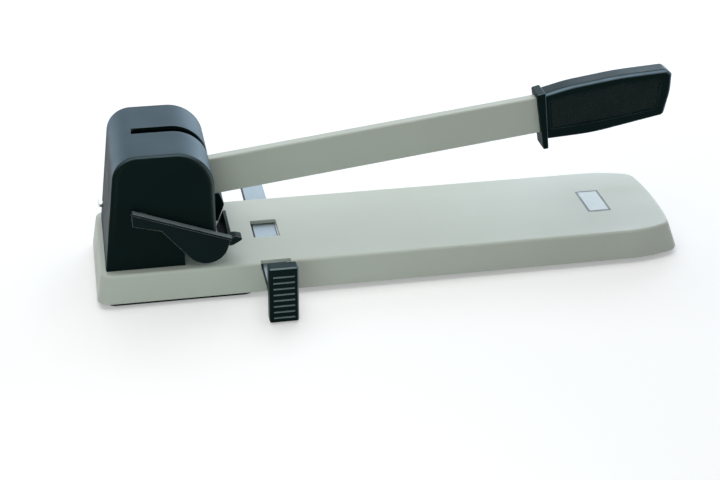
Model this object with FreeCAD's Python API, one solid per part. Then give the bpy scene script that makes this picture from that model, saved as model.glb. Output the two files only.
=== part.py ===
"""Long-lever two-hole paper punch.

Built with x measured from the rear end of the base, y = 0 on the centre plane,
-Y towards the side that carries the paper stop, and z measured from the lower
edge of the base casting.  The finished pieces are then moved so that the origin
is on the standing surface, under the middle of the base.
"""
import FreeCAD, Part
import math
import os

Vec = FreeCAD.Vector
AXIS_X, AXIS_Y, AXIS_Z = Vec(1, 0, 0), Vec(0, 1, 0), Vec(0, 0, 1)

# ---- base casting ----
base_length = 507.4
base_width = 120.0
base_height = 25.6
base_wall = 3.2
side_draft = 2.0
rear_draft = 4.5
nose_draft = 10.2
rear_corner_r = 10.0
nose_shoulder_r = 124.0
nose_shoulder_draft = 31.6
nose_shoulder_turn = 18.6
nose_turn_draft = 5.0
nose_corner_r = 16.0
nose_corner_draft = 4.6
nose_front_r = 300.0
base_edge_r = 2.4
rib_thickness = 2.4
rib_depth = 5.5
foot_height = 5.0
foot_r = 7.5
foot_stem_r = 3.0
foot_boss_r = 9.0
front_foot_setback = 52.4
front_foot_side_gap = 26.0

# ---- paper throat, punches and die ----
throat_height = 16.0
throat_back_x = 73.4
hole_edge_distance = 12.0
hole_spacing = 80.0
punch_r = 3.0
punch_wall = 0.9
punch_bore_depth = 14.0
punch_reach = 3.0
punch_head_rim = 1.8
punch_head_height = 4.0
die_clearance = 0.05
die_thickness = 8.0
die_length = 50.9
die_bed_thickness = 3.2

# ---- fits ----
running_gap = 0.03
seat_gap = 0.02
die_seat_gap = 0.15
side_gap = 0.4

# ---- lever, gears and racks ----
shaft_above_jaw = 38.4
shaft_r = 6.0
lever_angle = 7.0
lever_lift = 80.0
arm_width = 9.2
arm_height = 33.0
arm_sheet = 2.0
arm_below_shaft = 0.618 * arm_height
arm_behind_shaft = 14.0
gear_module = 1.5
gear_teeth = 20
gear_width = 6.4
gear_backlash = 0.24
pressure_angle = 20.0
sector_margin_low = 28.0
sector_margin_high = 36.0
rack_teeth_above = 2
pin_r = 1.5

# ---- punch frame ----
beam_thickness = 10.4
cheek_thickness = 6.0
ear_thickness = 6.0
frame_foot_thickness = 6.0
frame_bolt_r = 2.5
post_r = 4.0
bush_wall = 2.0
bush_flange = 1.5
cover_screw_r = 2.0
cover_screw_height = 14.9

# ---- crosshead and springs ----
crosshead_gap = 2.5
crosshead_height = 19.5
bridge_height = 6.6
spring_wire_r = 0.8
spring_turns = 5
spring_pocket_depth = 12.0

# ---- head cover ----
cover_rear_x = 8.8
cover_above_shaft = 46.3
cover_wall = 2.5
cover_side_gap = 1.7
cover_rear_lean = 7.3
cover_rear_r = 21.0
cover_front_r = 30.5
cover_crease_r = 2.2
cover_slot_gap = 0.6
cover_slot_rear_gap = 6.6

# ---- paper clamps ----
clamp_pivot_behind_shaft = 15.0
clamp_pivot_below_shaft = 8.8
clamp_stub_r = 4.0
clamp_web = 2.5
clamp_gap = 0.8
clamp_foot_r = 18.0
clamp_foot_gap = 2.0
clamp_foot_ahead = 5.9
clamp_tail_depth = 12.0
clamp_flange = 3.0
clamp_flange_thickness = 1.8
clamp_split_y = 5.4
clamp_spring_wire_r = 0.6
clamp_spring_turns = 5

# ---- paper guide ----
ruler_width = 20.0
ruler_thickness = 1.2
ruler_lip = 2.1
ruler_depth = 3.6
guide_overhang = 45.0
stop_overlap = 4.0
stop_offset = -0.3
stop_depth = 9.6
stop_height = 50.4
stop_floor_gap = 1.0
stop_grooves = 8
stop_groove_pitch = 5.36
stop_groove_depth = 1.0
window_gap = 0.8
window_middle_y = 1.8
window_width = 29.8

# ---- chip lid ----
lid_rear_x = 6.5
lid_side_gap = 2.4
lid_thickness = 2.6
lid_gap = 0.4
lid_rim_height = 9.0
lid_rim_thickness = 2.0
lid_travel = 12.0
lug_length = 8.0

# ---- grip ----
grip_start = 399.5
grip_length = 112.8
grip_thickness = 18.0
guard_thickness = 7.2
guard_overhang = 0.5
guard_drop = 8.4
grip_panel_depth = 1.0
grip_edge_r = 3.4
grip_screw_r = 2.0

# ---- derived places, from the throat outwards ----
hole_x = throat_back_x + hole_edge_distance
hole_y = hole_spacing / 2
jaw_z = base_height + throat_height
beam_top_z = jaw_z + beam_thickness
top_plate_z = base_height - base_wall
base_half = base_width / 2

pitch_r = gear_module * gear_teeth / 2
tooth_pitch = math.pi * gear_module
stroke = math.radians(lever_lift) * pitch_r
rack_x = throat_back_x - 3.4
shaft_x = rack_x - pitch_r
shaft_z = jaw_z + shaft_above_jaw
gear_inner_y = arm_width / 2
gear_outer_y = gear_inner_y + gear_width
gear_pin_circle_r = shaft_r + 3.6

punch_bore_r = punch_r - punch_wall
punch_head_r = punch_r + punch_head_rim
crosshead_rear_x = rack_x + 4.5
crosshead_front_x = hole_x + punch_head_r + 3.3
crosshead_half_width = hole_y + punch_head_r + 1.6
crosshead_z = beam_top_z + crosshead_gap
crosshead_top_z = crosshead_z + crosshead_height
bridge_rear_x = rack_x + 8.0
spring_r = post_r + 2.0
post_x = (crosshead_rear_x + crosshead_front_x) / 2
post_y = (gear_outer_y + hole_y - punch_r) / 2

frame_rear_x = cover_rear_x + cover_wall + 2.7
frame_front_x = crosshead_front_x + 2.5
frame_half_width = crosshead_half_width - 0.4
beam_half_width = frame_half_width + 1.0
stop_plate_half_width = beam_half_width
cheek_inner_y = gear_outer_y + 2.0
ear_outer_y = frame_half_width
spine_rear_x = shaft_x + 1.0
frame_bolt_y = ear_outer_y - ear_thickness - 8.0
cover_lug_front_x = frame_rear_x + 5.0
cover_screw_y = frame_half_width - 2.0
cover_screw_z = base_height + cover_screw_height

die_rear_x = throat_back_x - 16.0
die_front_x = die_rear_x + die_length
die_half_width = hole_y + punch_head_r + 4.0
die_bed_z = base_height - die_thickness
chip_room_end_x = die_front_x + 18.7

cover_half_width = crosshead_half_width + cover_side_gap + cover_wall
cover_front_x = frame_front_x + 4.0
cover_top_z = shaft_z + cover_above_shaft

clamp_pivot_x = shaft_x - clamp_pivot_behind_shaft
clamp_pivot_z = shaft_z - clamp_pivot_below_shaft
clamp_front_x = cover_front_x + 12.0
clamp_top_z = base_height + 24.8
clamp_foot_x = hole_x + clamp_foot_ahead
clamp_foot_z = base_height + clamp_foot_gap + clamp_foot_r

ruler_x = chip_room_end_x + 8.5
ruler_top_z = base_height - ruler_depth
bracket_floor_z = ruler_top_z - ruler_thickness - 1.3
guide_bay_end_x = ruler_x + ruler_width + 9.0
guide_reach = base_half + guide_overhang
stop_width = ruler_width + stop_overlap
stop_bottom_z = stop_floor_gap - foot_height
stop_back_y = -guide_reach + stop_depth

lid_front_x = chip_room_end_x + 2.0
lid_half_width = base_half - lid_side_gap
lid_rim_rear_x = lid_rear_x + lid_travel + 8.0
lid_rim_front_x = lid_front_x - 8.0
lid_rim_half_width = base_half - base_wall - 4.2
front_foot_x = base_length - front_foot_setback
front_foot_y = base_half - front_foot_side_gap
rear_foot_x = lid_rear_x + 13.0
rear_foot_y = lid_half_width - 14.0
floor_shift = Vec(-base_length / 2, 0, foot_height)

SIDES = {"near": -1, "far": 1}


# ---- helpers ----
def box(x0, x1, y0, y1, z0, z1):
    return Part.makeBox(x1 - x0, y1 - y0, z1 - z0, Vec(x0, y0, z0))


def rod(radius, start, end):
    """Round bar between two points."""
    run = end.sub(start)
    return Part.makeCylinder(radius, run.Length, start, run)


def rod_y(radius, x, z, y0, y1):
    return rod(radius, Vec(x, y0, z), Vec(x, y1, z))


def rod_z(radius, x, y, z0, z1):
    return rod(radius, Vec(x, y, z0), Vec(x, y, z1))


def far_side(shape, side):
    """The shape as drawn for the far (+Y) side, or its mirror on the near side."""
    if side > 0:
        return shape
    return shape.mirror(Vec(0, 0, 0), AXIS_Y)


def fuse(shapes):
    return shapes[0].multiFuse(shapes[1:]).removeSplitter()


def rounded_wire(corners):
    """Closed wire in the XZ plane from (x, z, radius) corners, with tangent arcs."""
    count = len(corners)
    edges = []
    ends = []
    for i in range(count):
        here = Vec(corners[i][0], 0, corners[i][1])
        before = Vec(corners[i - 1][0], 0, corners[i - 1][1])
        after = Vec(corners[(i + 1) % count][0], 0, corners[(i + 1) % count][1])
        radius = corners[i][2]
        back = before.sub(here).normalize()
        ahead = after.sub(here).normalize()
        if radius <= 0:
            ends.append((here, here, None))
            continue
        half = back.getAngle(ahead) / 2
        bisector = (back + ahead).normalize()
        centre = here + bisector * (radius / math.sin(half))
        middle = centre - bisector * radius
        trim = radius / math.tan(half)
        ends.append((here + back * trim, here + ahead * trim, middle))
    for i, (start, end, middle) in enumerate(ends):
        if middle is not None:
            edges.append(Part.Arc(start, middle, end).toShape())
        following = ends[(i + 1) % count][0]
        if following.sub(end).Length > 1e-6:
            edges.append(Part.makeLine(end, following))
    return Part.Wire(edges)


def plate(corners, y0, y1):
    """Plate between two y values with a rounded XZ outline."""
    face = Part.Face(rounded_wire(corners))
    face.translate(Vec(0, y0, 0))
    return face.extrude(Vec(0, y1 - y0, 0))


def edges_where(shape, test):
    return [edge for edge in shape.Edges if test(edge)]


def turn_to_lever(shape):
    """From the lever's own axes (u along the arm, v across it) to the machine."""
    turned = shape.copy()
    turned.rotate(Vec(0, 0, 0), AXIS_Y, -lever_angle)
    return turned


def lever_point(x, z):
    """(u, v) of a point of the machine in the lever's own axes."""
    angle = math.radians(lever_angle)
    return (x * math.cos(angle) + z * math.sin(angle),
            z * math.cos(angle) - x * math.sin(angle))


# ---- base ----
def nose_arcs(share, inset):
    """Shoulder and corner of the far side of the nose, as (x, y, radius, from, to)."""
    half = base_half - side_draft * share - inset
    nose = base_length - nose_draft * share - inset
    shoulder_r = nose_shoulder_r - nose_shoulder_draft * share - inset
    corner_r = nose_corner_r - nose_corner_draft * share - inset
    front_r = nose_front_r - inset
    turn = math.radians(nose_shoulder_turn + nose_turn_draft * share)
    rise = half - shoulder_r + (shoulder_r - corner_r) * math.cos(turn)
    open_angle = math.asin(rise / (front_r - corner_r))
    corner_x = nose - front_r + (front_r - corner_r) * math.cos(open_angle)
    shoulder_x = corner_x - (shoulder_r - corner_r) * math.sin(turn)
    upright = math.pi / 2
    return [
        (shoulder_x, half - shoulder_r, shoulder_r, upright, upright - turn),
        (corner_x, rise, corner_r, upright - turn, open_angle),
    ]


def arc_points(arc, z):
    """Start, middle and end of an (x, y, radius, from, to) arc at height z."""
    x, y, radius, start, end = arc
    angles = (start, (start + end) / 2, end)
    return [Vec(x + radius * math.cos(a), y + radius * math.sin(a), z) for a in angles]


def base_outline(z, inset):
    """Closed outline of the base at height z, moved inwards by inset."""
    share = z / base_height
    half = base_half - side_draft * share - inset
    rear = rear_draft * share + inset
    corner_r = rear_corner_r - side_draft * share - inset
    rear_arc = (rear + corner_r, half - corner_r, corner_r, math.pi, math.pi / 2)
    far = [arc_points(arc, z) for arc in [rear_arc] + nose_arcs(share, inset)]
    near = [[Vec(p.x, -p.y, z) for p in reversed(points)] for points in reversed(far)]
    nose_tip = Vec(base_length - nose_draft * share - inset, 0, z)
    chain = far + [[far[-1][2], nose_tip, near[0][0]]] + near
    edges = []
    for i, (start, middle, end) in enumerate(chain):
        edges.append(Part.Arc(start, middle, end).toShape())
        following = chain[(i + 1) % len(chain)][0]
        if following.sub(end).Length > 1e-6:
            edges.append(Part.makeLine(end, following))
    return Part.Wire(edges)


def base_form(bottom, top, inset):
    wires = [base_outline(bottom, inset), base_outline(top, inset)]
    return Part.makeLoft(wires, True, True)


def base_ribs():
    """Stiffening ribs, foot bosses, the die's bed and the walls of the guide's bay."""
    half, deep = base_half, top_plate_z - rib_depth
    ribs = []
    for x in (chip_room_end_x, guide_bay_end_x):
        ribs.append(box(x, x + rib_thickness, -half, half, 0, base_height))
    bays = 5
    pitch = (base_length - 20 - guide_bay_end_x) / (bays + 0.4)
    for i in range(1, bays + 1):
        x = guide_bay_end_x + pitch * i
        ribs.append(box(x, x + rib_thickness, -half, half, deep, base_height))
    for y in (-half / 3, half / 3):
        ribs.append(box(guide_bay_end_x, base_length, y - rib_thickness / 2, y + rib_thickness / 2,
                        deep, base_height))
    for side in SIDES.values():
        ribs.append(rod_z(foot_boss_r, front_foot_x, side * front_foot_y, 0, base_height))
    ribs.append(box(die_rear_x - base_wall, die_front_x + base_wall, -half, half,
                    die_bed_z - die_bed_thickness, base_height))
    return ribs


def frame_bolt_places():
    rows = (frame_rear_x + 8.0, die_rear_x + 6.6)
    return [(x, side * frame_bolt_y) for x in rows for side in SIDES.values()]


def guide_openings():
    """Window in the top plate, open notch for the stop and slot for the ruler's far end."""
    low, over = ruler_top_z - ruler_lip - 0.5, base_height + 1
    x0, x1 = ruler_x, ruler_x + ruler_width
    window_half = window_width / 2
    return [
        box(x0 - window_gap, x1 + window_gap + 0.8, window_middle_y - window_half,
            window_middle_y + window_half, top_plate_z - 5, over),
        box(x0 - 0.6, x1 + 4.5, -base_half - 1, -base_half + side_draft + base_wall + 1.6, low, over),
        box(x0 - 1, x1 + 1, base_half - side_draft - base_wall - 4.8, base_half + 1, low,
            ruler_top_z + 0.5),
    ]


def base_casting():
    outer = base_form(0, base_height, 0)
    rim = edges_where(outer, lambda e: e.BoundBox.ZMin > base_height - 0.01)
    outer = outer.makeFillet(base_edge_r, rim)
    hollow = base_form(-0.5, top_plate_z, base_wall)
    hollow = hollow.cut(Part.makeCompound(base_ribs()))
    body = outer.cut(hollow)
    over = base_height + 1
    cuts = guide_openings()
    cuts.append(box(die_rear_x, die_front_x, -die_half_width, die_half_width, die_bed_z, over))
    for x, y in frame_bolt_places():
        cuts.append(rod_z(frame_bolt_r + 0.7, x, y, 10, over))
    for side in SIDES.values():
        cuts.append(rod_z(foot_stem_r, front_foot_x, side * front_foot_y, -1, 9))
        cuts.append(rod_z(punch_head_r, hole_x, side * hole_y, 10, over))
    body = body.cut(Part.makeCompound(cuts))
    return body.fuse(lid_lugs()).removeSplitter()


def lug_places():
    rows = (lid_rim_rear_x + 9.5, lid_rim_front_x - 25.0)
    return [(x, side) for x in rows for side in SIDES.values()]


def lid_lugs():
    """Four ledges inside the side walls that the lid's hooks rest on."""
    inner = lid_rim_half_width + 0.6
    lugs = []
    for x, side in lug_places():
        lugs.append(far_side(box(x, x + lug_length, inner, base_half - 2.0, 1.5, 4.0), side))
    return Part.makeCompound(lugs)


def foot(x, y, top, seat, edge_r):
    """Rubber foot: a pad below top and a stem pressed up to seat."""
    pad = rod_z(foot_r, x, y, -foot_height, top - seat_gap)
    rim = edges_where(pad, lambda e: e.BoundBox.ZMax < -foot_height + 0.01)
    stem = rod_z(foot_stem_r - seat_gap, x, y, top - 1, seat)
    return pad.makeFillet(edge_r, rim).fuse(stem).removeSplitter()


def front_foot(side):
    return foot(front_foot_x, side * front_foot_y, 0, 8, 1.0)


# ---- die and throat ----
def die_plate():
    """Flush steel plate let into the bed of the casting and held by the frame's bolts."""
    half, over = die_half_width - die_seat_gap, base_height + 1
    body = box(die_rear_x + die_seat_gap, die_front_x - die_seat_gap, -half, half,
               die_bed_z, base_height)
    for side in SIDES.values():
        y = side * hole_y
        body = body.cut(rod_z(punch_r + die_clearance, hole_x, y, 0, over))
        body = body.cut(rod_z(punch_r + 1.0, hole_x, y, 0, base_height - die_thickness / 2))
    for x, y in frame_bolt_places():
        body = body.cut(rod_z(frame_bolt_r + 0.7, x, y, 0, over))
    return body


def paper_stop():
    """Upright strip at the back of the throat that the sheets are pushed against."""
    half = stop_plate_half_width
    return box(throat_back_x - 2.0, throat_back_x, -half, half, base_height + seat_gap, jaw_z - 0.1)


# ---- punch frame ----
def cheek_outline():
    """Side plate that carries the shaft, from the frame's foot over the bearing."""
    front, top = crosshead_rear_x - 1.2, shaft_z + 14.5
    low = base_height + 1
    return [
        (frame_rear_x + 6, low, 0), (shaft_x - 22, shaft_z - 4, 12.0), (shaft_x - 10, top, 9.0),
        (shaft_x + 10, top, 9.0), (front, shaft_z - 2, 8.0), (front, beam_top_z - 1, 0),
        (shaft_x + 5, low, 0),
    ]


def ear_outline():
    x, z = clamp_pivot_x, clamp_pivot_z
    low = base_height + 1
    return [
        (frame_rear_x + 10, low, 0), (x - 9, z + 8.6, 8.0), (x + 9, z + 8.6, 8.0),
        (spine_rear_x + 4, low + 7, 0), (spine_rear_x + 4, low, 0),
    ]


def cover_wall_x(z, inset):
    """Where the cover's leaning rear wall is at height z, inset from its outer face."""
    return cover_rear_x + inset + (z - base_height) * math.tan(math.radians(cover_rear_lean))


def cover_lug_outline():
    """Upright lug on the frame whose rear face lies against the cover's leaning wall."""
    low, high, inset = base_height + 1, cover_screw_z + 6, cover_wall + seat_gap
    return [
        (cover_wall_x(low, inset), low, 0), (cover_wall_x(high, inset), high, 0),
        (cover_lug_front_x, high, 0), (cover_lug_front_x, low, 0),
    ]


def punch_frame():
    """Cast C-frame: foot, spine, guide beam, two cheeks and two clamp ears."""
    half, low = frame_half_width, base_height + 1
    stop_face = throat_back_x - 2.0 - seat_gap
    pieces = [
        box(frame_rear_x, stop_face, -half, half, base_height + seat_gap,
            base_height + frame_foot_thickness),
        box(spine_rear_x, stop_face, -half, half, low, beam_top_z - 2.0),
        box(spine_rear_x + 4, frame_front_x, -beam_half_width, beam_half_width, jaw_z, beam_top_z),
        plate(cover_lug_outline(), cover_screw_y - 6, cover_screw_y + cover_screw_r + 1.4),
    ]
    for side in SIDES.values():
        cheek = plate(cheek_outline(), cheek_inner_y, cheek_inner_y + cheek_thickness)
        ear = plate(ear_outline(), ear_outer_y - ear_thickness, ear_outer_y)
        pieces.append(far_side(cheek, side))
        pieces.append(far_side(ear, side))
    cuts = [
        rod_y(shaft_r + bush_wall, shaft_x, shaft_z, -30, 30),
        rod_y(clamp_stub_r + running_gap, clamp_pivot_x, clamp_pivot_z, -half - 5, half + 5),
        rod(cover_screw_r, Vec(cover_rear_x, cover_screw_y, cover_screw_z),
            Vec(cover_lug_front_x + 1, cover_screw_y, cover_screw_z)),
    ]
    for x, y in frame_bolt_places():
        cuts.append(rod_z(frame_bolt_r, x, y, base_height - 1, base_height + 16))
    for side in SIDES.values():
        cuts.append(rod_z(punch_r + bush_wall, hole_x, side * hole_y, jaw_z - 1, beam_top_z + 1))
        cuts.append(rod_z(post_r + seat_gap, post_x, side * post_y, jaw_z + 1, beam_top_z + 1))
    return fuse(pieces).cut(Part.makeCompound(cuts)).removeSplitter()


def frame_bolts():
    """Four screws from below, through the casting into the frame's foot."""
    bolts = []
    for x, y in frame_bolt_places():
        under = die_bed_z - die_bed_thickness if x > die_rear_x else top_plate_z
        head = rod_z(2 * frame_bolt_r, x, y, under - 3.4, under - seat_gap)
        shank = rod_z(frame_bolt_r - seat_gap, x, y, under - 1, base_height + 12)
        socket = rod_z(0.8 * frame_bolt_r, x, y, under - 4, under - 1.6)
        bolts.append(head.fuse(shank).cut(socket))
    return Part.makeCompound(bolts)


def shaft_bush(side):
    inner = cheek_inner_y - bush_flange
    tube = rod_y(shaft_r + bush_wall - seat_gap, shaft_x, shaft_z, inner,
                 cheek_inner_y + cheek_thickness)
    collar = rod_y(shaft_r + bush_wall + 2.0, shaft_x, shaft_z, inner, cheek_inner_y - seat_gap)
    bore = rod_y(shaft_r + running_gap, shaft_x, shaft_z, inner - 1, 40)
    return far_side(tube.fuse(collar).cut(bore), side)


def guide_post(side):
    """Round post pressed into the beam; the crosshead runs on it up to its clip."""
    low, top = jaw_z + 1 + seat_gap, crosshead_top_z + stroke + 4.6
    post = rod_z(post_r, post_x, side * post_y, low, top)
    groove_z = crosshead_top_z + stroke + side_gap
    ring = rod_z(post_r + 1, post_x, side * post_y, groove_z, groove_z + 1.2)
    ring = ring.cut(rod_z(post_r - 0.7, post_x, side * post_y, groove_z, groove_z + 1.2))
    tip = edges_where(post, lambda e: e.BoundBox.ZMin > top - 0.01)
    return post.makeChamfer(0.8, tip).cut(ring)


def e_clip(radius, groove_r, thickness):
    """Spring clip lying flat at z = 0, open towards -Y."""
    body = Part.makeCylinder(radius, thickness)
    body = body.cut(Part.makeCylinder(groove_r, thickness))
    return body.cut(box(-groove_r * 0.8, groove_r * 0.8, -radius - 1, 0, 0, thickness))


def post_clip(side):
    clip = e_clip(post_r + 3.0, post_r - 0.7 + seat_gap, 1.2)
    clip.translate(Vec(post_x, side * post_y, crosshead_top_z + stroke + side_gap))
    return clip


def punch_bush(side):
    bush = rod_z(punch_r + bush_wall - seat_gap, hole_x, side * hole_y, jaw_z, beam_top_z)
    return bush.cut(rod_z(punch_r + running_gap, hole_x, side * hole_y, jaw_z - 1, beam_top_z + 1))


def arm_bottom_z(x):
    """Height of the lever's lower edge above the base at rest."""
    _, axis_v = lever_point(shaft_x, shaft_z)
    low = axis_v - arm_below_shaft
    angle = math.radians(lever_angle)
    return (low + x * math.sin(angle)) / math.cos(angle)


def arm_rest():
    """Beak on the front of the guide beam that the lowered lever lies on."""
    clear = 0.35
    x0 = frame_front_x + seat_gap
    x1 = frame_front_x + 11.4
    half = arm_width / 2 - 0.8
    nose = [
        (x0, jaw_z - 3.5, 0), (x0 + 7.9, jaw_z - 2.5, 1.0), (x1 + 2.8, jaw_z + 9.3, 1.2),
        (x1 + 3.6, jaw_z + 14.5, 1.5), (x1, arm_bottom_z(x1) - clear, 1.0),
        (x0, arm_bottom_z(x0) - clear, 0),
    ]
    return plate(nose, -half, half)


# ---- lever ----
def gear_tooth_flank(teeth_half_angle):
    """Points of one involute flank from root to tip, as (radius, angle)."""
    alpha = math.radians(pressure_angle)
    base_r = pitch_r * math.cos(alpha)
    tip_r = pitch_r + gear_module
    steps = 5
    points = []
    at_pitch = math.tan(alpha) - alpha
    for i in range(steps + 1):
        radius = base_r + (tip_r - base_r) * i / steps
        roll = math.acos(min(base_r / radius, 1.0))
        spread = math.tan(roll) - roll
        points.append((radius, teeth_half_angle - (spread - at_pitch)))
    return points


def gear_sector():
    """Toothed sector in the XZ plane about the shaft, extruded along +Y from 0."""
    half_angle = (math.pi / 2 - gear_backlash / 2 / gear_module) / gear_teeth
    root_r = pitch_r - 1.25 * gear_module
    flank = gear_tooth_flank(half_angle)
    pitch_angle = 2 * math.pi / gear_teeth

    def spot(radius, angle):
        return Vec(shaft_x + radius * math.cos(angle), 0, shaft_z + radius * math.sin(angle))

    edges = []
    first = math.ceil(-math.radians(lever_lift + sector_margin_low) / pitch_angle)
    final = math.floor(math.radians(sector_margin_high) / pitch_angle)
    last = None
    for tooth in range(first, final + 1):
        middle = tooth * pitch_angle
        low = [spot(r, middle - a) for r, a in flank]
        high = [spot(r, middle + a) for r, a in reversed(flank)]
        foot = spot(root_r, middle - half_angle * 1.25)
        if last is not None:
            gap_middle = middle - pitch_angle / 2
            edges.append(Part.Arc(last, spot(root_r, gap_middle), foot).toShape())
        else:
            opening = foot
        curve_up, curve_down = Part.BSplineCurve(), Part.BSplineCurve()
        curve_up.interpolate(low)
        curve_down.interpolate(high)
        edges.append(Part.makeLine(foot, low[0]))
        edges.append(curve_up.toShape())
        edges.append(Part.Arc(low[-1], spot(flank[-1][0], middle), high[0]).toShape())
        edges.append(curve_down.toShape())
        last = spot(root_r, middle + half_angle * 1.25)
        edges.append(Part.makeLine(high[-1], last))
    start = first * pitch_angle - half_angle * 1.25
    end = final * pitch_angle + half_angle * 1.25
    back = (start + 2 * math.pi + end) / 2
    edges.append(Part.Arc(last, spot(root_r, back), opening).toShape())
    return Part.Face(Part.Wire(edges)).extrude(Vec(0, gear_width, 0))


def gear_pin_places():
    """Pins that key both sectors to the arm, one on the arm's line and two behind."""
    spots = []
    for turn in (0.0, 112.0, -112.0):
        angle = math.radians(lever_angle + turn)
        spots.append((shaft_x + gear_pin_circle_r * math.cos(angle),
                      shaft_z + gear_pin_circle_r * math.sin(angle)))
    return spots


def keyed_bores(body, half):
    """Cut the shaft's and the pins' bores through a piece of the lever."""
    body = body.cut(rod_y(shaft_r + seat_gap, shaft_x, shaft_z, -half, half))
    for x, z in gear_pin_places():
        body = body.cut(rod_y(pin_r + seat_gap, x, z, -half, half))
    return body


def drive_gear(side):
    sector = gear_sector()
    sector.translate(Vec(0, gear_inner_y, 0))
    return far_side(keyed_bores(sector, gear_outer_y + 1), side)


def gear_pins():
    reach = gear_outer_y
    return Part.makeCompound([rod_y(pin_r, x, z, -reach, reach) for x, z in gear_pin_places()])


def lever_shaft():
    end = clip_y() + 4.6
    shaft = rod_y(shaft_r, shaft_x, shaft_z, -end, end)
    shaft = shaft.makeChamfer(0.8, edges_where(shaft, lambda e: abs(e.BoundBox.YMin) > end - 0.1))
    for side in SIDES.values():
        y = side * clip_y()
        ring = rod_y(shaft_r + 1, shaft_x, shaft_z, y, y + side * 1.2)
        shaft = shaft.cut(ring.cut(rod_y(shaft_r - 0.9, shaft_x, shaft_z, y, y + side * 1.2)))
    return shaft


def clip_y():
    return cheek_inner_y + cheek_thickness + side_gap


def shaft_clip(side):
    clip = e_clip(shaft_r + 3.5, shaft_r - 0.9 + seat_gap, 1.2)
    clip.rotate(Vec(0, 0, 0), AXIS_X, -90)
    clip.rotate(Vec(0, 0, 0), AXIS_Y, 35)
    clip.translate(Vec(shaft_x, clip_y(), shaft_z))
    return far_side(clip, side)


def hub_spacer():
    half = arm_width / 2 - arm_sheet - 0.05
    return keyed_bores(rod_y(shaft_r + 3.0, shaft_x, shaft_z, -half, half), half + 1)


def lever_arm():
    """Inverted channel folded from sheet, with a rounded heel behind the shaft."""
    u_shaft, v_shaft = lever_point(shaft_x, shaft_z)
    u0, u1 = u_shaft - arm_behind_shaft, grip_start + grip_length - 28.6
    v0 = v_shaft - arm_below_shaft
    v1 = v0 + arm_height
    half = arm_width / 2
    solid = plate([(u0, v0, 8.0), (u1, v0, 4.0), (u1, v1, 4.0), (u0, v1, 8.0)], -half, half)
    fold = edges_where(solid, lambda e: e.BoundBox.ZMin > v1 - 0.01)
    solid = solid.makeFillet(1.6, fold)
    inside = box(u0 - 1, u1 + 1, -half + arm_sheet, half - arm_sheet, v0 - 1, v1 - arm_sheet)
    return keyed_bores(turn_to_lever(solid.cut(inside)), arm_width)


def grip_middle():
    """Height of the handle's middle line in the lever's own axes."""
    return lever_point(shaft_x, shaft_z)[1] - arm_below_shaft + arm_height / 2


def grip_shape(corners, y0, y1):
    """Plate in the lever's own axes from corners given relative to the handle."""
    mid = grip_middle()
    placed = [(grip_start + u, mid + v, radius) for u, v, radius in corners]
    return plate(placed, y0, y1)


def grip_body():
    """Flat-sided handle with a slightly crowned back and rounded edges."""
    end = grip_length
    body = grip_shape([
        (0, 20.4, 0), (end * 0.195, 23.4, 150), (end * 0.585, 24.5, 260), (end - 5.0, 22.2, 5),
        (end, 17.2, 2), (end - 1.6, 1.9, 50), (end - 8.4, -19.7, 4.5),
        (end * 0.355, -24.6, 200), (0, -22.3, 0),
    ], -grip_thickness / 2, grip_thickness / 2)
    rims = edges_where(body, lambda e: e.BoundBox.YLength < 0.01 and e.BoundBox.XMax > grip_start + 1)
    return body.makeFillet(grip_edge_r, rims)


def grip_guard():
    """Collar at the front end of the handle with a hook below it for the fingers."""
    half, low = grip_thickness / 2 + guard_overhang, -22.3 - guard_drop
    guard = grip_shape([
        (-guard_thickness, 21.2, 1.2), (-guard_thickness * 0.6, low, 1.0), (0.2, low, 1.0),
        (0.2, 22.2, 1.2),
    ], -half, half)
    rims = edges_where(guard, lambda e: e.BoundBox.YLength < 0.01)
    return guard.makeFillet(0.8, rims)


def grip():
    """Moulded handle with a hooked guard and a sunk panel on each side."""
    half, end = grip_thickness / 2, grip_length
    body = grip_body().fuse(grip_guard())
    for side in SIDES.values():
        panel = grip_shape([
            (3.2, -13.3, 2.5), (end * 0.4, -14.2, 300), (end - 14.4, -12.6, 7), (end - 10.0, 15.7, 5),
            (end * 0.53, 17.2, 200), (3.2, 14.2, 2.5),
        ], half - grip_panel_depth, half + 1)
        body = body.cut(far_side(panel, side))
    clear = 0.1
    arm_half, height, mid = arm_width / 2 + clear, arm_height / 2 + clear, grip_middle()
    body = body.cut(box(grip_start - 20, grip_start + grip_length - 26.6, -arm_half, arm_half,
                        mid - height, mid + height))
    screw_u, seat = grip_screw_u(), mid - arm_height / 2 - 2.5
    body = body.cut(rod_z(grip_screw_r + 0.2, screw_u, 0, mid - 40, mid - 10))
    body = body.cut(rod_z(grip_screw_r + 2.2, screw_u, 0, mid - 40, seat))
    return turn_to_lever(body)


def grip_screw_u():
    return grip_start + 0.27 * grip_length


def grip_screw():
    mid, u = grip_middle(), grip_screw_u()
    seat = mid - arm_height / 2 - 2.5
    head = rod_z(grip_screw_r + 1.8, u, 0, seat - 2.2, seat - seat_gap)
    shank = rod_z(grip_screw_r, u, 0, seat - 1, mid - 4)
    socket = rod_z(grip_screw_r - 0.7, u, 0, seat - 3, seat - 0.9)
    return turn_to_lever(head.fuse(shank).cut(socket))


def grip_nut():
    """Tapped block inside the channel that the grip's screw pulls on."""
    mid, u = grip_middle(), grip_screw_u()
    half = arm_width / 2 - arm_sheet - 0.05
    block = box(u - 7, u + 7, -half, half, mid - 14, mid - 3)
    return turn_to_lever(block.cut(rod_z(grip_screw_r + seat_gap, u, 0, mid - 20, mid)))


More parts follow.
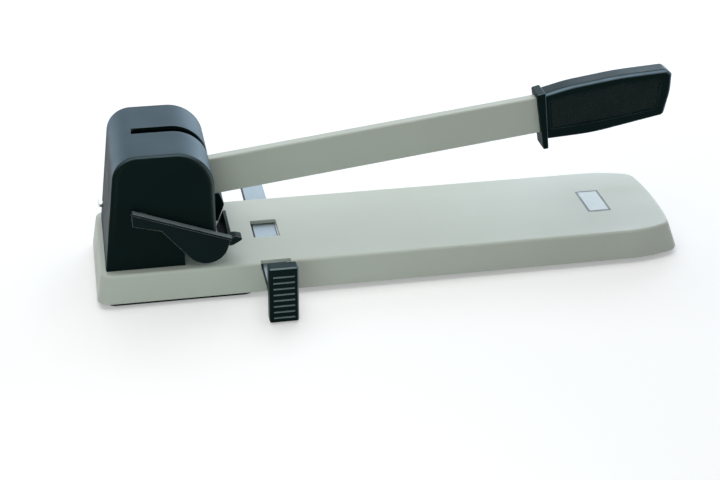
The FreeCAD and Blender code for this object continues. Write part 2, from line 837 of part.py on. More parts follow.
# ---- crosshead ----
def rack_profile():
    """Closed XZ outline of one rack; a tooth space is level with the shaft."""
    tip_x = rack_x - gear_module
    root_x = rack_x + 1.25 * gear_module
    slope = math.tan(math.radians(pressure_angle))
    half = tooth_pitch / 4 - gear_backlash / 4
    low = crosshead_z
    high = shaft_z + rack_teeth_above * tooth_pitch + 0.6
    rack_teeth_below = math.floor((shaft_z - low) / tooth_pitch)
    corners = [(crosshead_rear_x + 3.5, low, 0), (root_x, low, 0)]
    for tooth in range(-rack_teeth_below, rack_teeth_above):
        z = shaft_z + (tooth + 0.5) * tooth_pitch
        wide = half + 1.25 * gear_module * slope
        narrow = half - gear_module * slope
        corners.append((root_x, z - wide, 0))
        corners.append((tip_x, z - narrow, 0))
        corners.append((tip_x, z + narrow, 0))
        corners.append((root_x, z + wide, 0))
    corners.append((root_x, high, 0))
    corners.append((crosshead_rear_x + 3.5, high, 0))
    return corners


def crosshead():
    """Sliding beam that carries both punches, with a rack each side of the arm."""
    half = crosshead_half_width
    z0, z1 = crosshead_z, crosshead_top_z
    arm_gap = arm_width / 2 + 0.8
    pieces = []
    for side in SIDES.values():
        block = box(crosshead_rear_x, crosshead_front_x, arm_gap, half, z0, z1)
        rack = plate(rack_profile(), arm_gap, gear_outer_y - 0.2)
        pieces.append(far_side(block, side))
        pieces.append(far_side(rack, side))
    pieces.append(box(bridge_rear_x, crosshead_front_x, -7, 7, z0, z0 + bridge_height))
    body = fuse(pieces)
    cuts = []
    for side in SIDES.values():
        cuts.append(rod_z(punch_r + seat_gap, hole_x, side * hole_y, z0 - 1, z1 + 1))
        cuts.append(rod_z(punch_head_r + seat_gap, hole_x, side * hole_y, z1 - punch_head_height, z1 + 1))
        cuts.append(rod_z(post_r + running_gap, post_x, side * post_y, z0 - 1, z1 + 1))
        cuts.append(rod_z(spring_r + spring_wire_r + 0.6, post_x, side * post_y, z0 - 1,
                          z0 + spring_pocket_depth))
    return body.cut(Part.makeCompound(cuts)).removeSplitter()


def punch_pin(side):
    """Hollow cutting punch: a tube with a bevelled mouth, a side vent and a head."""
    tip_z = base_height - punch_reach
    x, y = hole_x, side * hole_y
    body = rod_z(punch_r, x, y, tip_z, crosshead_top_z)
    head = rod_z(punch_head_r, x, y, crosshead_top_z - punch_head_height + seat_gap, crosshead_top_z)
    bore = rod_z(punch_bore_r, x, y, tip_z - 1, tip_z + punch_bore_depth)
    mouth = Part.makeCone(punch_r - 0.05, punch_bore_r, 1.6, Vec(x, y, tip_z), AXIS_Z)
    vent = box(x, x + 5, y - 1.4, y + 1.4, tip_z + 8.0, tip_z + punch_bore_depth)
    return body.fuse(head).cut(bore).cut(mouth).cut(vent).removeSplitter()


def coil(radius, wire_r, height, turns):
    """Coil spring standing on z = 0."""
    pitch = (height - 2 * wire_r) / turns
    path = Part.makeHelix(pitch, pitch * turns, radius)
    ring = Part.Wire(Part.makeCircle(wire_r, Vec(radius, 0, 0), AXIS_Y))
    spring = Part.Wire(path).makePipeShell([ring], True, True)
    spring.translate(Vec(0, 0, wire_r))
    return spring


def return_spring(side):
    length = crosshead_gap + spring_pocket_depth - 0.2
    spring = coil(spring_r, spring_wire_r, length, spring_turns)
    spring.translate(Vec(post_x, side * post_y, beam_top_z + 0.1))
    return spring


# ---- cover ----
def cover_profile(inset):
    top, front = cover_top_z - inset, cover_front_x - inset
    low = base_height + 0.3 if inset == 0 else base_height - 5
    return [
        (cover_wall_x(low, inset), low, 0), (cover_wall_x(top, inset), top, cover_rear_r - inset),
        (front, top, cover_front_r - inset), (front, low, 0),
    ]


def cover_slot_rear_x():
    """Rear end of the lever's slot: behind the arm's back edge when fully lifted."""
    angle = math.radians(lever_angle + lever_lift)
    back = (arm_height - arm_below_shaft) / math.sin(angle)
    edges = [shaft_x + (z - shaft_z) / math.tan(angle) - back
             for z in (cover_top_z - cover_wall, cover_top_z)]
    return min(edges) - cover_slot_rear_gap


def head_cover():
    """Moulded shell with the lever slot, open below and cut away over the throat."""
    outer = plate(cover_profile(0), -cover_half_width, cover_half_width)
    side_edges = edges_where(outer, lambda e: e.BoundBox.YLength < 0.01
                             and e.BoundBox.ZMax > base_height + 1)
    outer = outer.makeFillet(cover_crease_r, side_edges)
    inside_y = cover_half_width - cover_wall
    inner = plate(cover_profile(cover_wall), -inside_y, inside_y)
    slot_half = arm_width / 2 + cover_slot_gap
    front, wide = cover_front_x + 1, cover_half_width + 1
    screw_y, screw_z = cover_screw_y, cover_screw_z
    cuts = [
        box(throat_back_x, front, -wide, wide, 0, jaw_z),
        box(cover_slot_rear_x(), front, -slot_half, slot_half, jaw_z - 5, cover_top_z + 1),
        rod_y(clamp_stub_r + 1.2, clamp_pivot_x, clamp_pivot_z, -wide, wide),
        rod(cover_screw_r + 0.3, Vec(0, screw_y, screw_z), Vec(cover_rear_x + 16, screw_y, screw_z)),
    ]
    return outer.cut(inner).cut(Part.makeCompound(cuts)).removeSplitter()


def cover_screw():
    """Plated screw with a rounded head, low on the rear of the cover."""
    y, z, head_r = cover_screw_y, cover_screw_z, cover_screw_r + 1.4
    seat = cover_wall_x(z - head_r, 0) - seat_gap
    head = rod(head_r, Vec(seat - 3.2, y, z), Vec(seat, y, z))
    crown = edges_where(head, lambda e: e.BoundBox.XMax < seat - 3.1)
    head = head.makeFillet(1.4, crown)
    shank = rod(cover_screw_r - seat_gap, Vec(seat - 1, y, z), Vec(cover_lug_front_x, y, z))
    slit = box(seat - 5, seat - 2.4, y - 0.5, y + 0.5, z - 10, z + 10)
    return head.fuse(shank).cut(slit)


# ---- paper clamps ----
def clamp_corners():
    """Tail top, tail low, waist and front top of the clamp's web, as (x, z)."""
    x, z = clamp_pivot_x, clamp_pivot_z
    return [(x - 7.3, z + 9.1), (x - 7.3, z + 9.1 - clamp_tail_depth - 1.4),
            (x + 15.4, z - 10.2), (clamp_front_x, clamp_top_z)]


def clamp_foot_rim(angle):
    return Vec(clamp_foot_x + clamp_foot_r * math.cos(angle), 0,
               clamp_foot_z + clamp_foot_r * math.sin(angle))


def clamp_foot_tangent(corner, turn):
    """Angle at which a line from a corner touches the round foot."""
    dx, dz = corner[0] - clamp_foot_x, corner[1] - clamp_foot_z
    return math.atan2(dz, dx) + turn * math.acos(clamp_foot_r / math.hypot(dx, dz))


def clamp_outline():
    tail_top, tail_low, waist, front_top = clamp_corners()
    entry = clamp_foot_tangent(waist, 1)
    leave = clamp_foot_tangent(front_top, -1) + 2 * math.pi
    spots = [Vec(x, 0, z) for x, z in (front_top, tail_top, tail_low, waist)]
    spots = [clamp_foot_rim(leave)] + spots + [clamp_foot_rim(entry)]
    edges = [Part.makeLine(a, b) for a, b in zip(spots, spots[1:])]
    low = clamp_foot_rim((entry + leave) / 2)
    edges.append(Part.Arc(spots[-1], low, spots[0]).toShape())
    return Part.Wire(edges)


def clamp_thumb_flange(inner):
    """Ledge along the top of the web for the thumb."""
    (x0, z0), (x1, z1) = clamp_corners()[0], clamp_corners()[3]
    flange = box(0, math.hypot(x1 - x0, z1 - z0), 0, clamp_flange + clamp_web,
                 -clamp_flange_thickness, 0)
    flange.rotate(Vec(0, 0, 0), AXIS_Y, math.degrees(math.atan2(z0 - z1, x1 - x0)))
    flange.translate(Vec(x0, inner, z0))
    return flange


def clamp_stub(inner):
    """Round stub with a collar against the cover's side and a groove for its clip."""
    x, z, r, start = clamp_pivot_x, clamp_pivot_z, clamp_stub_r, clamp_stub_end()
    stub = rod_y(r, x, z, start, inner + 0.5)
    collar = rod_y(r + 3, x, z, cover_half_width + 0.32, inner + 0.5)
    groove = rod_y(r + 1, x, z, start + 1.2, start + 2.2)
    groove = groove.cut(rod_y(r - 0.8, x, z, start + 1.2, start + 2.2))
    return stub.fuse(collar).cut(groove)


def clamp_arm(side):
    """Presser with a round foot, a thumb flange, a front apron and a lift tab."""
    inner = cover_half_width + clamp_gap
    outer = inner + clamp_web
    face = Part.Face(clamp_outline())
    face.translate(Vec(0, inner, 0))
    web = face.extrude(Vec(0, clamp_web, 0))
    x, top, low = clamp_front_x, clamp_top_z, base_height + 9.6
    apron = plate([(x - 8.2, low, 0), (x - 5.6, low - 1.0, 0), (x + 0.2, top - 0.6, 0),
                   (x - 2.2, top - 0.4, 0)], clamp_split_y, inner + 1)
    tab = plate([(x - 2.5, top - 8.2, 0), (x + 1.2, top - 7.6, 1.5), (x + 8.0, top - 3.6, 1.2),
                 (x + 8.6, top - 1.8, 1.0), (x + 3.5, top - 0.2, 1.5), (x - 2.5, top - 0.2, 0)],
                outer - 9.5, outer - 0.2)
    return far_side(fuse([web, clamp_thumb_flange(inner), apron, tab, clamp_stub(inner)]), side)


def clamp_stub_end():
    """Inner end of the stub: past the ear, the spring and the clip."""
    return ear_outer_y - ear_thickness - clamp_spring_length() - 3.4


def clamp_spring_length():
    return (clamp_spring_turns + 1) * 2 * clamp_spring_wire_r * 1.04


def clamp_clip(side):
    clip = e_clip(clamp_stub_r + 2.6, clamp_stub_r - 0.8 + seat_gap, 1.0)
    clip.rotate(Vec(0, 0, 0), AXIS_X, -90)
    clip.translate(Vec(clamp_pivot_x, clamp_stub_end() + 1.2, clamp_pivot_z))
    return far_side(clip, side)


def clamp_spring(side):
    """Torsion spring round the stub with its long leg standing on the frame's foot."""
    wire, turns = clamp_spring_wire_r, clamp_spring_turns
    radius = clamp_stub_r + wire + 0.35
    length = clamp_spring_length()
    spring = coil(radius, wire, length, turns)
    spring.rotate(Vec(0, 0, 0), AXIS_X, -90)
    spring.rotate(Vec(0, 0, 0), AXIS_Y, 180)
    y = ear_outer_y - ear_thickness - 0.3 - length
    spring.translate(Vec(clamp_pivot_x, y, clamp_pivot_z))
    foot = base_height + frame_foot_thickness + seat_gap
    leg = rod_z(wire, clamp_pivot_x - radius, y + wire, foot, clamp_pivot_z)
    return far_side(spring.fuse(leg), side)


# ---- paper guide ----
def guide_ruler():
    """Steel strip with one long edge folded down and its near end bent behind the stop."""
    top, thick, back = ruler_top_z, ruler_thickness, stop_back_y
    x0, x1 = ruler_x, ruler_x + ruler_width
    strip = box(x0, x1, back, guide_reach, top - thick, top)
    lip = box(x0, x0 + thick, back, guide_reach, top - ruler_lip, top)
    leg = box(x0 + 2, x1, back, back + thick, stop_bottom_z + 9.0, top)
    body = fuse([strip, lip, leg])
    bend = edges_where(body, lambda e: e.BoundBox.XLength > 15 and abs(e.BoundBox.YMin - back) < 0.01
                       and e.BoundBox.ZMin > top - 0.01)
    fold = edges_where(body, lambda e: e.BoundBox.YLength > 50 and e.BoundBox.XMax < x0 + 0.01
                       and e.BoundBox.ZMin > top - 0.01)
    body = body.makeFillet(thick * 0.8, bend + fold)
    for z in stop_screw_heights():
        body = body.cut(rod_y(1.6, stop_middle_x(), z, back - 1, back + thick + 1))
    return body


def stop_middle_x():
    return ruler_x + stop_offset + stop_width / 2


def stop_screw_heights():
    return (stop_bottom_z + 13.0, stop_bottom_z + 21.0)


def stop_groove(x0, x1, z):
    """Finger groove with a level top and a ramp below it that faces up."""
    face, deep = -guide_reach, stop_groove_depth
    corners = [Vec(x0, face - 1, z), Vec(x0, face + deep, z), Vec(x0, face, z - 1.3 * deep),
               Vec(x0, face - 1, z - 1.3 * deep)]
    return Part.Face(Part.makePolygon(corners + corners[:1])).extrude(Vec(x1 - x0, 0, 0))


def guide_stop():
    """Moulded stop with finger grooves across its outer face."""
    x0, x1 = ruler_x + stop_offset, ruler_x + stop_offset + stop_width
    z0, z1 = stop_bottom_z, stop_bottom_z + stop_height
    body = box(x0, x1, -guide_reach, stop_back_y - seat_gap, z0, z1)
    body = body.makeFillet(1.8, edges_where(body, lambda e: e.BoundBox.YMax < -guide_reach + 0.01
                                            or e.BoundBox.YLength > 1))
    first = z0 + (stop_height - (stop_grooves - 1) * stop_groove_pitch) * 0.42
    cuts = [stop_groove(x0 + 3.4, x1 - 3.4, first + i * stop_groove_pitch)
            for i in range(stop_grooves)]
    for z in stop_screw_heights():
        cuts.append(rod_y(1.25, stop_middle_x(), z, stop_back_y - 7, stop_back_y + 1))
    return body.cut(Part.makeCompound(cuts))


def guide_screws():
    screws = []
    for z in stop_screw_heights():
        x = stop_middle_x()
        inside = stop_back_y + ruler_thickness
        head = rod_y(2.8, x, z, inside + seat_gap, inside + 1.8)
        shank = rod_y(1.25 - seat_gap, x, z, stop_back_y - 6.5, inside + 1)
        screws.append(head.fuse(shank))
    return Part.makeCompound(screws)


def guide_bracket():
    """Folded channel under the top plate that the ruler slides through."""
    gap, sheet = 0.6, 1.2
    x0, x1 = ruler_x - gap, ruler_x + ruler_width + gap
    half = base_half - side_draft - base_wall - 4.8
    low, under = bracket_floor_z, top_plate_z - 0.05
    pieces = [
        box(x0 - sheet, x1 + sheet, -half, half, low - sheet, low),
        box(x0 - sheet, x0, -half, half, low - sheet, under),
        box(x1, x1 + sheet, -half, half, low - sheet, under),
        box(x0 - 5.0, x0, -half, half, under - sheet, under),
        box(x1, x1 + 5.0, -half, half, under - sheet, under),
    ]
    return fuse(pieces)


def guide_spring():
    """Bowed leaf between the bracket and the ruler that holds the guide where it is put."""
    low, rise, thick = bracket_floor_z + 0.05, 0.85, 0.3
    y0, y1 = -38.0, -6.0

    def bow(z):
        return Part.Arc(Vec(0, y0, z), Vec(0, (y0 + y1) / 2, z + rise), Vec(0, y1, z)).toShape()

    ends = [Part.makeLine(Vec(0, y, low), Vec(0, y, low + thick)) for y in (y0, y1)]
    face = Part.Face(Part.Wire([bow(low), ends[1], bow(low + thick), ends[0]]))
    face.translate(Vec(ruler_x + 5, 0, 0))
    return face.extrude(Vec(ruler_width - 10, 0, 0))


# ---- chip lid ----
def lid_rim():
    """Upright rim that keeps the chips in, with four bayonet hooks outside it."""
    rear, front, half = lid_rim_rear_x, lid_rim_front_x, lid_rim_half_width
    wall, top = lid_rim_thickness, lid_rim_height
    rim = box(rear, front, -half, half, -lid_gap - 1, top)
    rim = rim.cut(box(rear + wall, front - wall, -half + wall, half - wall, -lid_gap - 2, top + 1))
    hooks = [far_side(box(x, x + lug_length, half - 1, half + 3.0, 4.3, 6.3), side)
             for x, side in lug_places()]
    return fuse([rim] + hooks)


def chip_lid():
    """Bottom lid with a rim, bayonet hooks and a finger grip."""
    top, bottom = -lid_gap, -lid_gap - lid_thickness
    sheet = box(lid_rear_x, lid_front_x, -lid_half_width, lid_half_width, bottom, top)
    sheet = sheet.makeFillet(9.0, edges_where(sheet, lambda e: e.BoundBox.ZLength > 1))
    cuts = [rod_z(foot_stem_r, rear_foot_x, side * rear_foot_y, bottom - 1, 0)
            for side in SIDES.values()]
    for i in range(5):
        x = lid_rear_x + 5.0 + 3.2 * i
        cuts.append(box(x, x + 1.4, -18, 18, bottom - 1, bottom + 0.7))
    return fuse([sheet, lid_rim()]).cut(Part.makeCompound(cuts)).removeSplitter()


def rear_foot(side):
    seat = -lid_gap
    return foot(rear_foot_x, side * rear_foot_y, seat - lid_thickness, seat, 0.6)


# ---- output ----
def all_parts():
    parts = {
        "base_casting": base_casting(), "die_plate": die_plate(), "paper_stop": paper_stop(),
        "punch_frame": punch_frame(), "frame_bolts": frame_bolts(), "arm_rest": arm_rest(),
        "head_cover": head_cover(), "cover_screw": cover_screw(),
        "lever_arm": lever_arm(), "lever_shaft": lever_shaft(), "hub_spacer": hub_spacer(),
        "gear_pins": gear_pins(), "grip": grip(), "grip_screw": grip_screw(), "grip_nut": grip_nut(),
        "crosshead": crosshead(), "guide_ruler": guide_ruler(), "guide_stop": guide_stop(),
        "guide_screws": guide_screws(), "guide_bracket": guide_bracket(),
        "guide_spring": guide_spring(), "chip_lid": chip_lid(),
    }
    paired = {
        "front_foot": front_foot, "rear_foot": rear_foot, "shaft_bush": shaft_bush,
        "guide_post": guide_post, "post_clip": post_clip, "punch_bush": punch_bush,
        "drive_gear": drive_gear, "shaft_clip": shaft_clip, "punch_pin": punch_pin,
        "return_spring": return_spring, "clamp_arm": clamp_arm, "clamp_clip": clamp_clip,
        "clamp_spring": clamp_spring,
    }
    for name, make in paired.items():
        for side_name, side in SIDES.items():
            parts[name + "_" + side_name] = make(side)
    return parts


def main():
    os.makedirs("parts", exist_ok=True)
    for name, shape in all_parts().items():
        placed = shape.copy()
        placed.translate(floor_shift)
        placed.exportStep("parts/" + name + ".step")
        print(name, len(placed.Solids), round(placed.Volume, 1), placed.isValid())


main()
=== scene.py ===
"""Looks of a long-lever two-hole paper punch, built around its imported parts."""
import math
from typing import NamedTuple

import bmesh
import bpy
from bpy.props import FloatProperty, FloatVectorProperty, IntProperty, PointerProperty
from bpy.types import Operator, Panel, PropertyGroup
from mathutils import Matrix, Vector


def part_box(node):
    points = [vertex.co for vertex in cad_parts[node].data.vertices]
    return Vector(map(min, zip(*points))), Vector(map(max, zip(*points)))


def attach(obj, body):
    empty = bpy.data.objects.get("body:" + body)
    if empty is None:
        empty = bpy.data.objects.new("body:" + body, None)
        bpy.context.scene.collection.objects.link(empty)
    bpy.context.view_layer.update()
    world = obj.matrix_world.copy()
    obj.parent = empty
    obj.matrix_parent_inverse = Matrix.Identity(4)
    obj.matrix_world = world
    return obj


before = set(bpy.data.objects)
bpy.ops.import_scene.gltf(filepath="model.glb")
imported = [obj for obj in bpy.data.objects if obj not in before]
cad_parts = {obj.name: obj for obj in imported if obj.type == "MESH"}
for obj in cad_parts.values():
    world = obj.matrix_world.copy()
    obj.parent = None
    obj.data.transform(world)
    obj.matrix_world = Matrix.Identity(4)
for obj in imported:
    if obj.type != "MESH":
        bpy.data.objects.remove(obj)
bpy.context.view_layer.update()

bl_info = {
    "name": "Paper Punch Looks",
    "version": (1, 0, 0),
    "blender": (4, 5, 0),
    "location": "View3D > Sidebar > Punch",
    "description": "Finishes, small fittings and studio for a long-lever paper punch",
    "category": "Object",
}

MM = 0.001
SIDES = {"near": -1, "far": 1}

# ---- places taken from the frame, in metres ----
REAR_END, _, CASTING_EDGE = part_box("base_casting")[0]
BASE_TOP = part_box("base_casting")[1][2]
GRIP_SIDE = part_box("grip")[1][1]
RULER_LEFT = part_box("guide_ruler")[0][0]

# ---- places on the drawing, in millimetres ----
# x runs from the rear end, y from the middle and z from the casting's lower edge. On the lever,
# u runs along its slope and v across it.
LEVER_SLOPE = math.radians(7.0)

# The grip's chequered panel: its outline from the grip's start and middle, and its depth below
# the grip's side. Its diamond points are sunk a little, fill most of their pitch, and keep a
# share of the pitch away from the outline.
GRIP_START = 399.5
GRIP_MIDDLE = 68.8
GRIP_PANEL = (
    (3.2, -13.3), (45.1, -14.2), (95.5, -12.7), (99.2, -9.2), (102.0, 12.6), (99.4, 16.0),
    (59.8, 17.2), (3.2, 14.2),
)
GRIP_PANEL_DEPTH = 1.5
POINT_SINK = 0.05
POINT_SPREAD = 0.94
POINT_CLEARANCE = 0.55

# The clamps' thumb flange, from its upper to its lower end, and the ridges along it. A ridge's
# foot and crest are shares of the ridges' pitch, each side of its middle.
CLAMP_TAIL = (32.7, 80.3)
CLAMP_FRONT = (112.0, 50.4)
CLAMP_FLANGE_INNER = 51.4
CLAMP_FLANGE_WIDTH = 5.5
RIDGE_SIDE_MARGIN = 0.15
RIDGE_END_MARGIN = 0.8
RIDGE_SINK = 0.05
RIDGE_FOOT = 0.34
RIDGE_CREST = 0.20

# A shade is painted on the ruler's folded left lip, along its gap to the notch's wall.
RULER_LIP_WIDTH = 1.4
RULER_LIP_BLEND = 0.1

# The label's film is sunk a little into the enamel. Its ink border lies on the film, a margin
# inside the edge, with an outer and an inner corner radius.
LABEL_MIDDLE = (441.0, 2.1)
LABEL_THICKNESS = 0.12
LABEL_SINK = 0.02
LABEL_CORNER = 1.2
BORDER_WIDTH = 2.1
BORDER_MARGIN = 0.1
BORDER_THICKNESS = 0.03
BORDER_SINK = 0.01
BORDER_CORNERS = (0.9, 0.5)

# The screws' heads under the guide bracket: two columns, the outermost rows and the seat,
# and the head's outline as radius and height from the seat.
BRACKET_SCREW_COLUMNS = (132.2, 158.8)
BRACKET_SCREW_REACH = 44.0
BRACKET_SCREW_SEAT = 21.14
SCREW_HEAD = ((0.4, -1.7), (1.2, -1.6), (1.9, -1.1), (2.2, -0.4), (2.2, 0.0))

# A highlight is painted on the cover's sides towards a wide front rounding, as such a curve
# would catch light. It fades in between two heights above the ground.
COVER_ROUNDING = 6.0
FRONT_HIGHLIGHT_HEIGHTS = (48.0, 85.0)

# ---- the studio, in metres and degrees, with the camera's lens and sensor in millimetres ----
# The floor's glow, which only the eye sees, grows between two distances from the middle.
FLOOR_REACH = 6.0
FLOOR_GLOW = (0.32, 1.0)
FLOOR_GLOW_REACH = (0.40, 1.6)
CAMERA_PLACE = (-0.2459, -1.1199, 0.6435)
CAMERA_AZIMUTH = -11.18
CAMERA_ELEVATION = 28.95
CAMERA_ROLL = 0.60
CAMERA_LENS = 74.66
CAMERA_SENSOR = 36.0

WHITE = (1.0, 1.0, 1.0)
COOL_LIGHT = (0.70, 0.86, 1.0)
GREENISH_LIGHT = (0.86, 1.0, 0.94)


class Lamp(NamedTuple):
    """A square light: its power's setting, its place, what it points at, its side and colour."""
    power: str
    place: tuple
    target: tuple
    side: float
    color: tuple


LAMPS = {
    "overhead_key": Lamp("key", (-0.15, 0.25, 1.55), (0.0, 0.0, 0.0), 2.0, WHITE),
    "rear_sheen": Lamp("sheen", (0.15, 1.75, 0.95), (0.0, 0.0, 0.05), 1.8, COOL_LIGHT),
    "right_curve_light": Lamp("curve", (1.25, 1.55, 0.45), (-0.17, 0.0, 0.12), 1.4, COOL_LIGHT),
    "side_fill": Lamp("fill", (-0.28, -0.55, 0.24), (-0.15, 0.0, 0.03), 0.35, GREENISH_LIGHT),
}

# ---- tones that the finishes share ----
# Blue tints of the mouldings' gloss and sheen, a painted reflection of a blue surround.
PAINTED_BLUE_GLOSS = (0.62, 0.95, 1.0, 1.0)
PAINTED_BLUE_SHEEN = (0.54, 0.77, 1.0, 1.0)
PAINTED_FRONT_HIGHLIGHT = (0.20, 0.26, 0.25)
BARE_STEEL = (0.34, 0.36, 0.36)
LIP_SHADE_TONE = (0.03, 0.035, 0.04)
SETTLED_DUST = (0.16, 0.155, 0.15)
RUBBED_RIDGE = (0.12, 0.155, 0.165)
FITTING_ZINC = (0.66, 0.67, 0.68)
BRIGHT_ZINC = (0.74, 0.75, 0.77)
BOLT_ZINC = (0.60, 0.60, 0.58)
PRIMED_IRON = (0.10, 0.10, 0.11)
GEAR_STEEL = (0.42, 0.41, 0.39)
SPRING_STEEL = (0.30, 0.31, 0.33)
BLACK_RUBBER = (0.022, 0.022, 0.023)
LEVER_SHADE = 0.93
CHEQUER_SHADE = 0.6

# Where most values of a noise lie, and how far a surface has to face a way for a change of
# finish to start and to be full.
NOISE_SPREAD = (0.3, 0.7)
FACES_UP = (0.15, 0.85)
LEANS_OUT = (0.03, 0.40)
LEANS_FORWARD = (0.05, 0.70)
FACES_ASIDE = (0.80, 0.97)


class WearAndLight(NamedTuple):
    """How a black moulding has aged, with painted light: its dust's sheen, partly painted sheen;
    the tone of its rubbed edges, partly painted highlight; the painted highlight's tone on its
    upper arrises; and how slanting an arris is where that tone starts and is full."""
    sheen: float
    edge: tuple
    arris: tuple
    slant: tuple


COVER_WEAR_AND_LIGHT = WearAndLight(0.95, (0.045, 0.062, 0.072), (0.10, 0.135, 0.155), (0.15, 0.49))
GRIP_WEAR_AND_LIGHT = WearAndLight(0.27, (0.05, 0.072, 0.08), (0.25, 0.35, 0.43), (0.18, 0.49))
CHEQUER_WEAR_AND_LIGHT = WearAndLight(0.0, (0.012, 0.020, 0.020), (0.034, 0.046, 0.044), (0.15, 0.33))
STOP_WEAR_AND_LIGHT = WearAndLight(0.45, (0.08, 0.11, 0.12), (0.22, 0.265, 0.285), (0.20, 0.42))


# ---- places and meshes ----
def place(x, y, z):
    """A drawing point in millimetres, as a point of the part in metres."""
    return Vector((REAR_END + x * MM, y * MM, CASTING_EDGE + z * MM))


def lever_place(u, v, y):
    """A point given along and across the lever."""
    cos, sin = math.cos(LEVER_SLOPE), math.sin(LEVER_SLOPE)
    return place(u * cos - v * sin, y, u * sin + v * cos)


def add_piece(name, points, faces, material, body, smooth=False):
    """A mesh that rides on a body and takes the finish it is given."""
    mesh = bpy.data.meshes.new(name)
    mesh.from_pydata([tuple(p) for p in points], [], faces)
    shape = bmesh.new()
    shape.from_mesh(mesh)
    bmesh.ops.recalc_face_normals(shape, faces=shape.faces)
    shape.to_mesh(mesh)
    shape.free()
    piece = bpy.data.objects.new(name, mesh)
    bpy.context.scene.collection.objects.link(piece)
    mesh.materials.append(material)
    mesh.polygons.foreach_set("use_smooth", [smooth] * len(mesh.polygons))
    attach(piece, body)
    return piece


def rounded_loop(half_x, half_y, corner, steps=6):
    """Outline of a rounded rectangle about the origin."""
    loop = []
    for sx, sy, start in ((1, 1, 0), (-1, 1, 90), (-1, -1, 180), (1, -1, 270)):
        for i in range(steps + 1):
            angle = math.radians(start + 90 * i / steps)
            loop.append((sx * (half_x - corner) + corner * math.cos(angle),
                         sy * (half_y - corner) + corner * math.sin(angle)))
    return loop


def turned_solid(profile, sides=24):
    """Points and faces of a closed turned shape from (radius, height) pairs."""
    points, faces = [], []
    for radius, height in profile:
        for i in range(sides):
            angle = 2 * math.pi * i / sides
            points.append(Vector((radius * math.cos(angle), radius * math.sin(angle), height)))
    last_ring = (len(profile) - 1) * sides
    for ring in range(0, last_ring, sides):
        for i in range(sides):
            j = (i + 1) % sides
            faces.append((ring + i, ring + j, ring + sides + j, ring + sides + i))
    for ring in (0, last_ring):
        faces.append(tuple(range(ring, ring + sides)))
    return points, faces


# ---- material building blocks ----
def feed(tree, socket, value):
    """Link a node's output to a socket, or set a plain value on the socket itself."""
    if isinstance(value, bpy.types.NodeSocket):
        tree.links.new(value, socket)
    else:
        socket.default_value = value


def add_node(tree, kind, inputs, **attributes):
    """A new shader node with its attributes set and its inputs fed."""
    node = tree.nodes.new("ShaderNode" + kind)
    for name, value in attributes.items():
        setattr(node, name, value)
    for name, value in inputs.items():
        feed(tree, node.inputs[name], value)
    return node


def seen_by_eye(tree):
    """1 where a surface is seen directly, in a reflection or through glass, and 0 for its light."""
    path = add_node(tree, "LightPath", {})
    seen = path.outputs["Is Camera Ray"]
    for ray in ("Is Glossy Ray", "Is Transmission Ray"):
        seen = add_node(tree, "Math", {0: seen, 1: path.outputs[ray]},
                        operation="MAXIMUM").outputs["Value"]
    return seen


def opaque(color):
    """A colour with full alpha; the output of another node stays as it is."""
    return color if isinstance(color, bpy.types.NodeSocket) else (*color[:3], 1.0)


def tinted(color, factor):
    """A colour made darker or lighter, with no channel over 1."""
    return tuple(min(channel * factor, 1.0) for channel in color[:3])


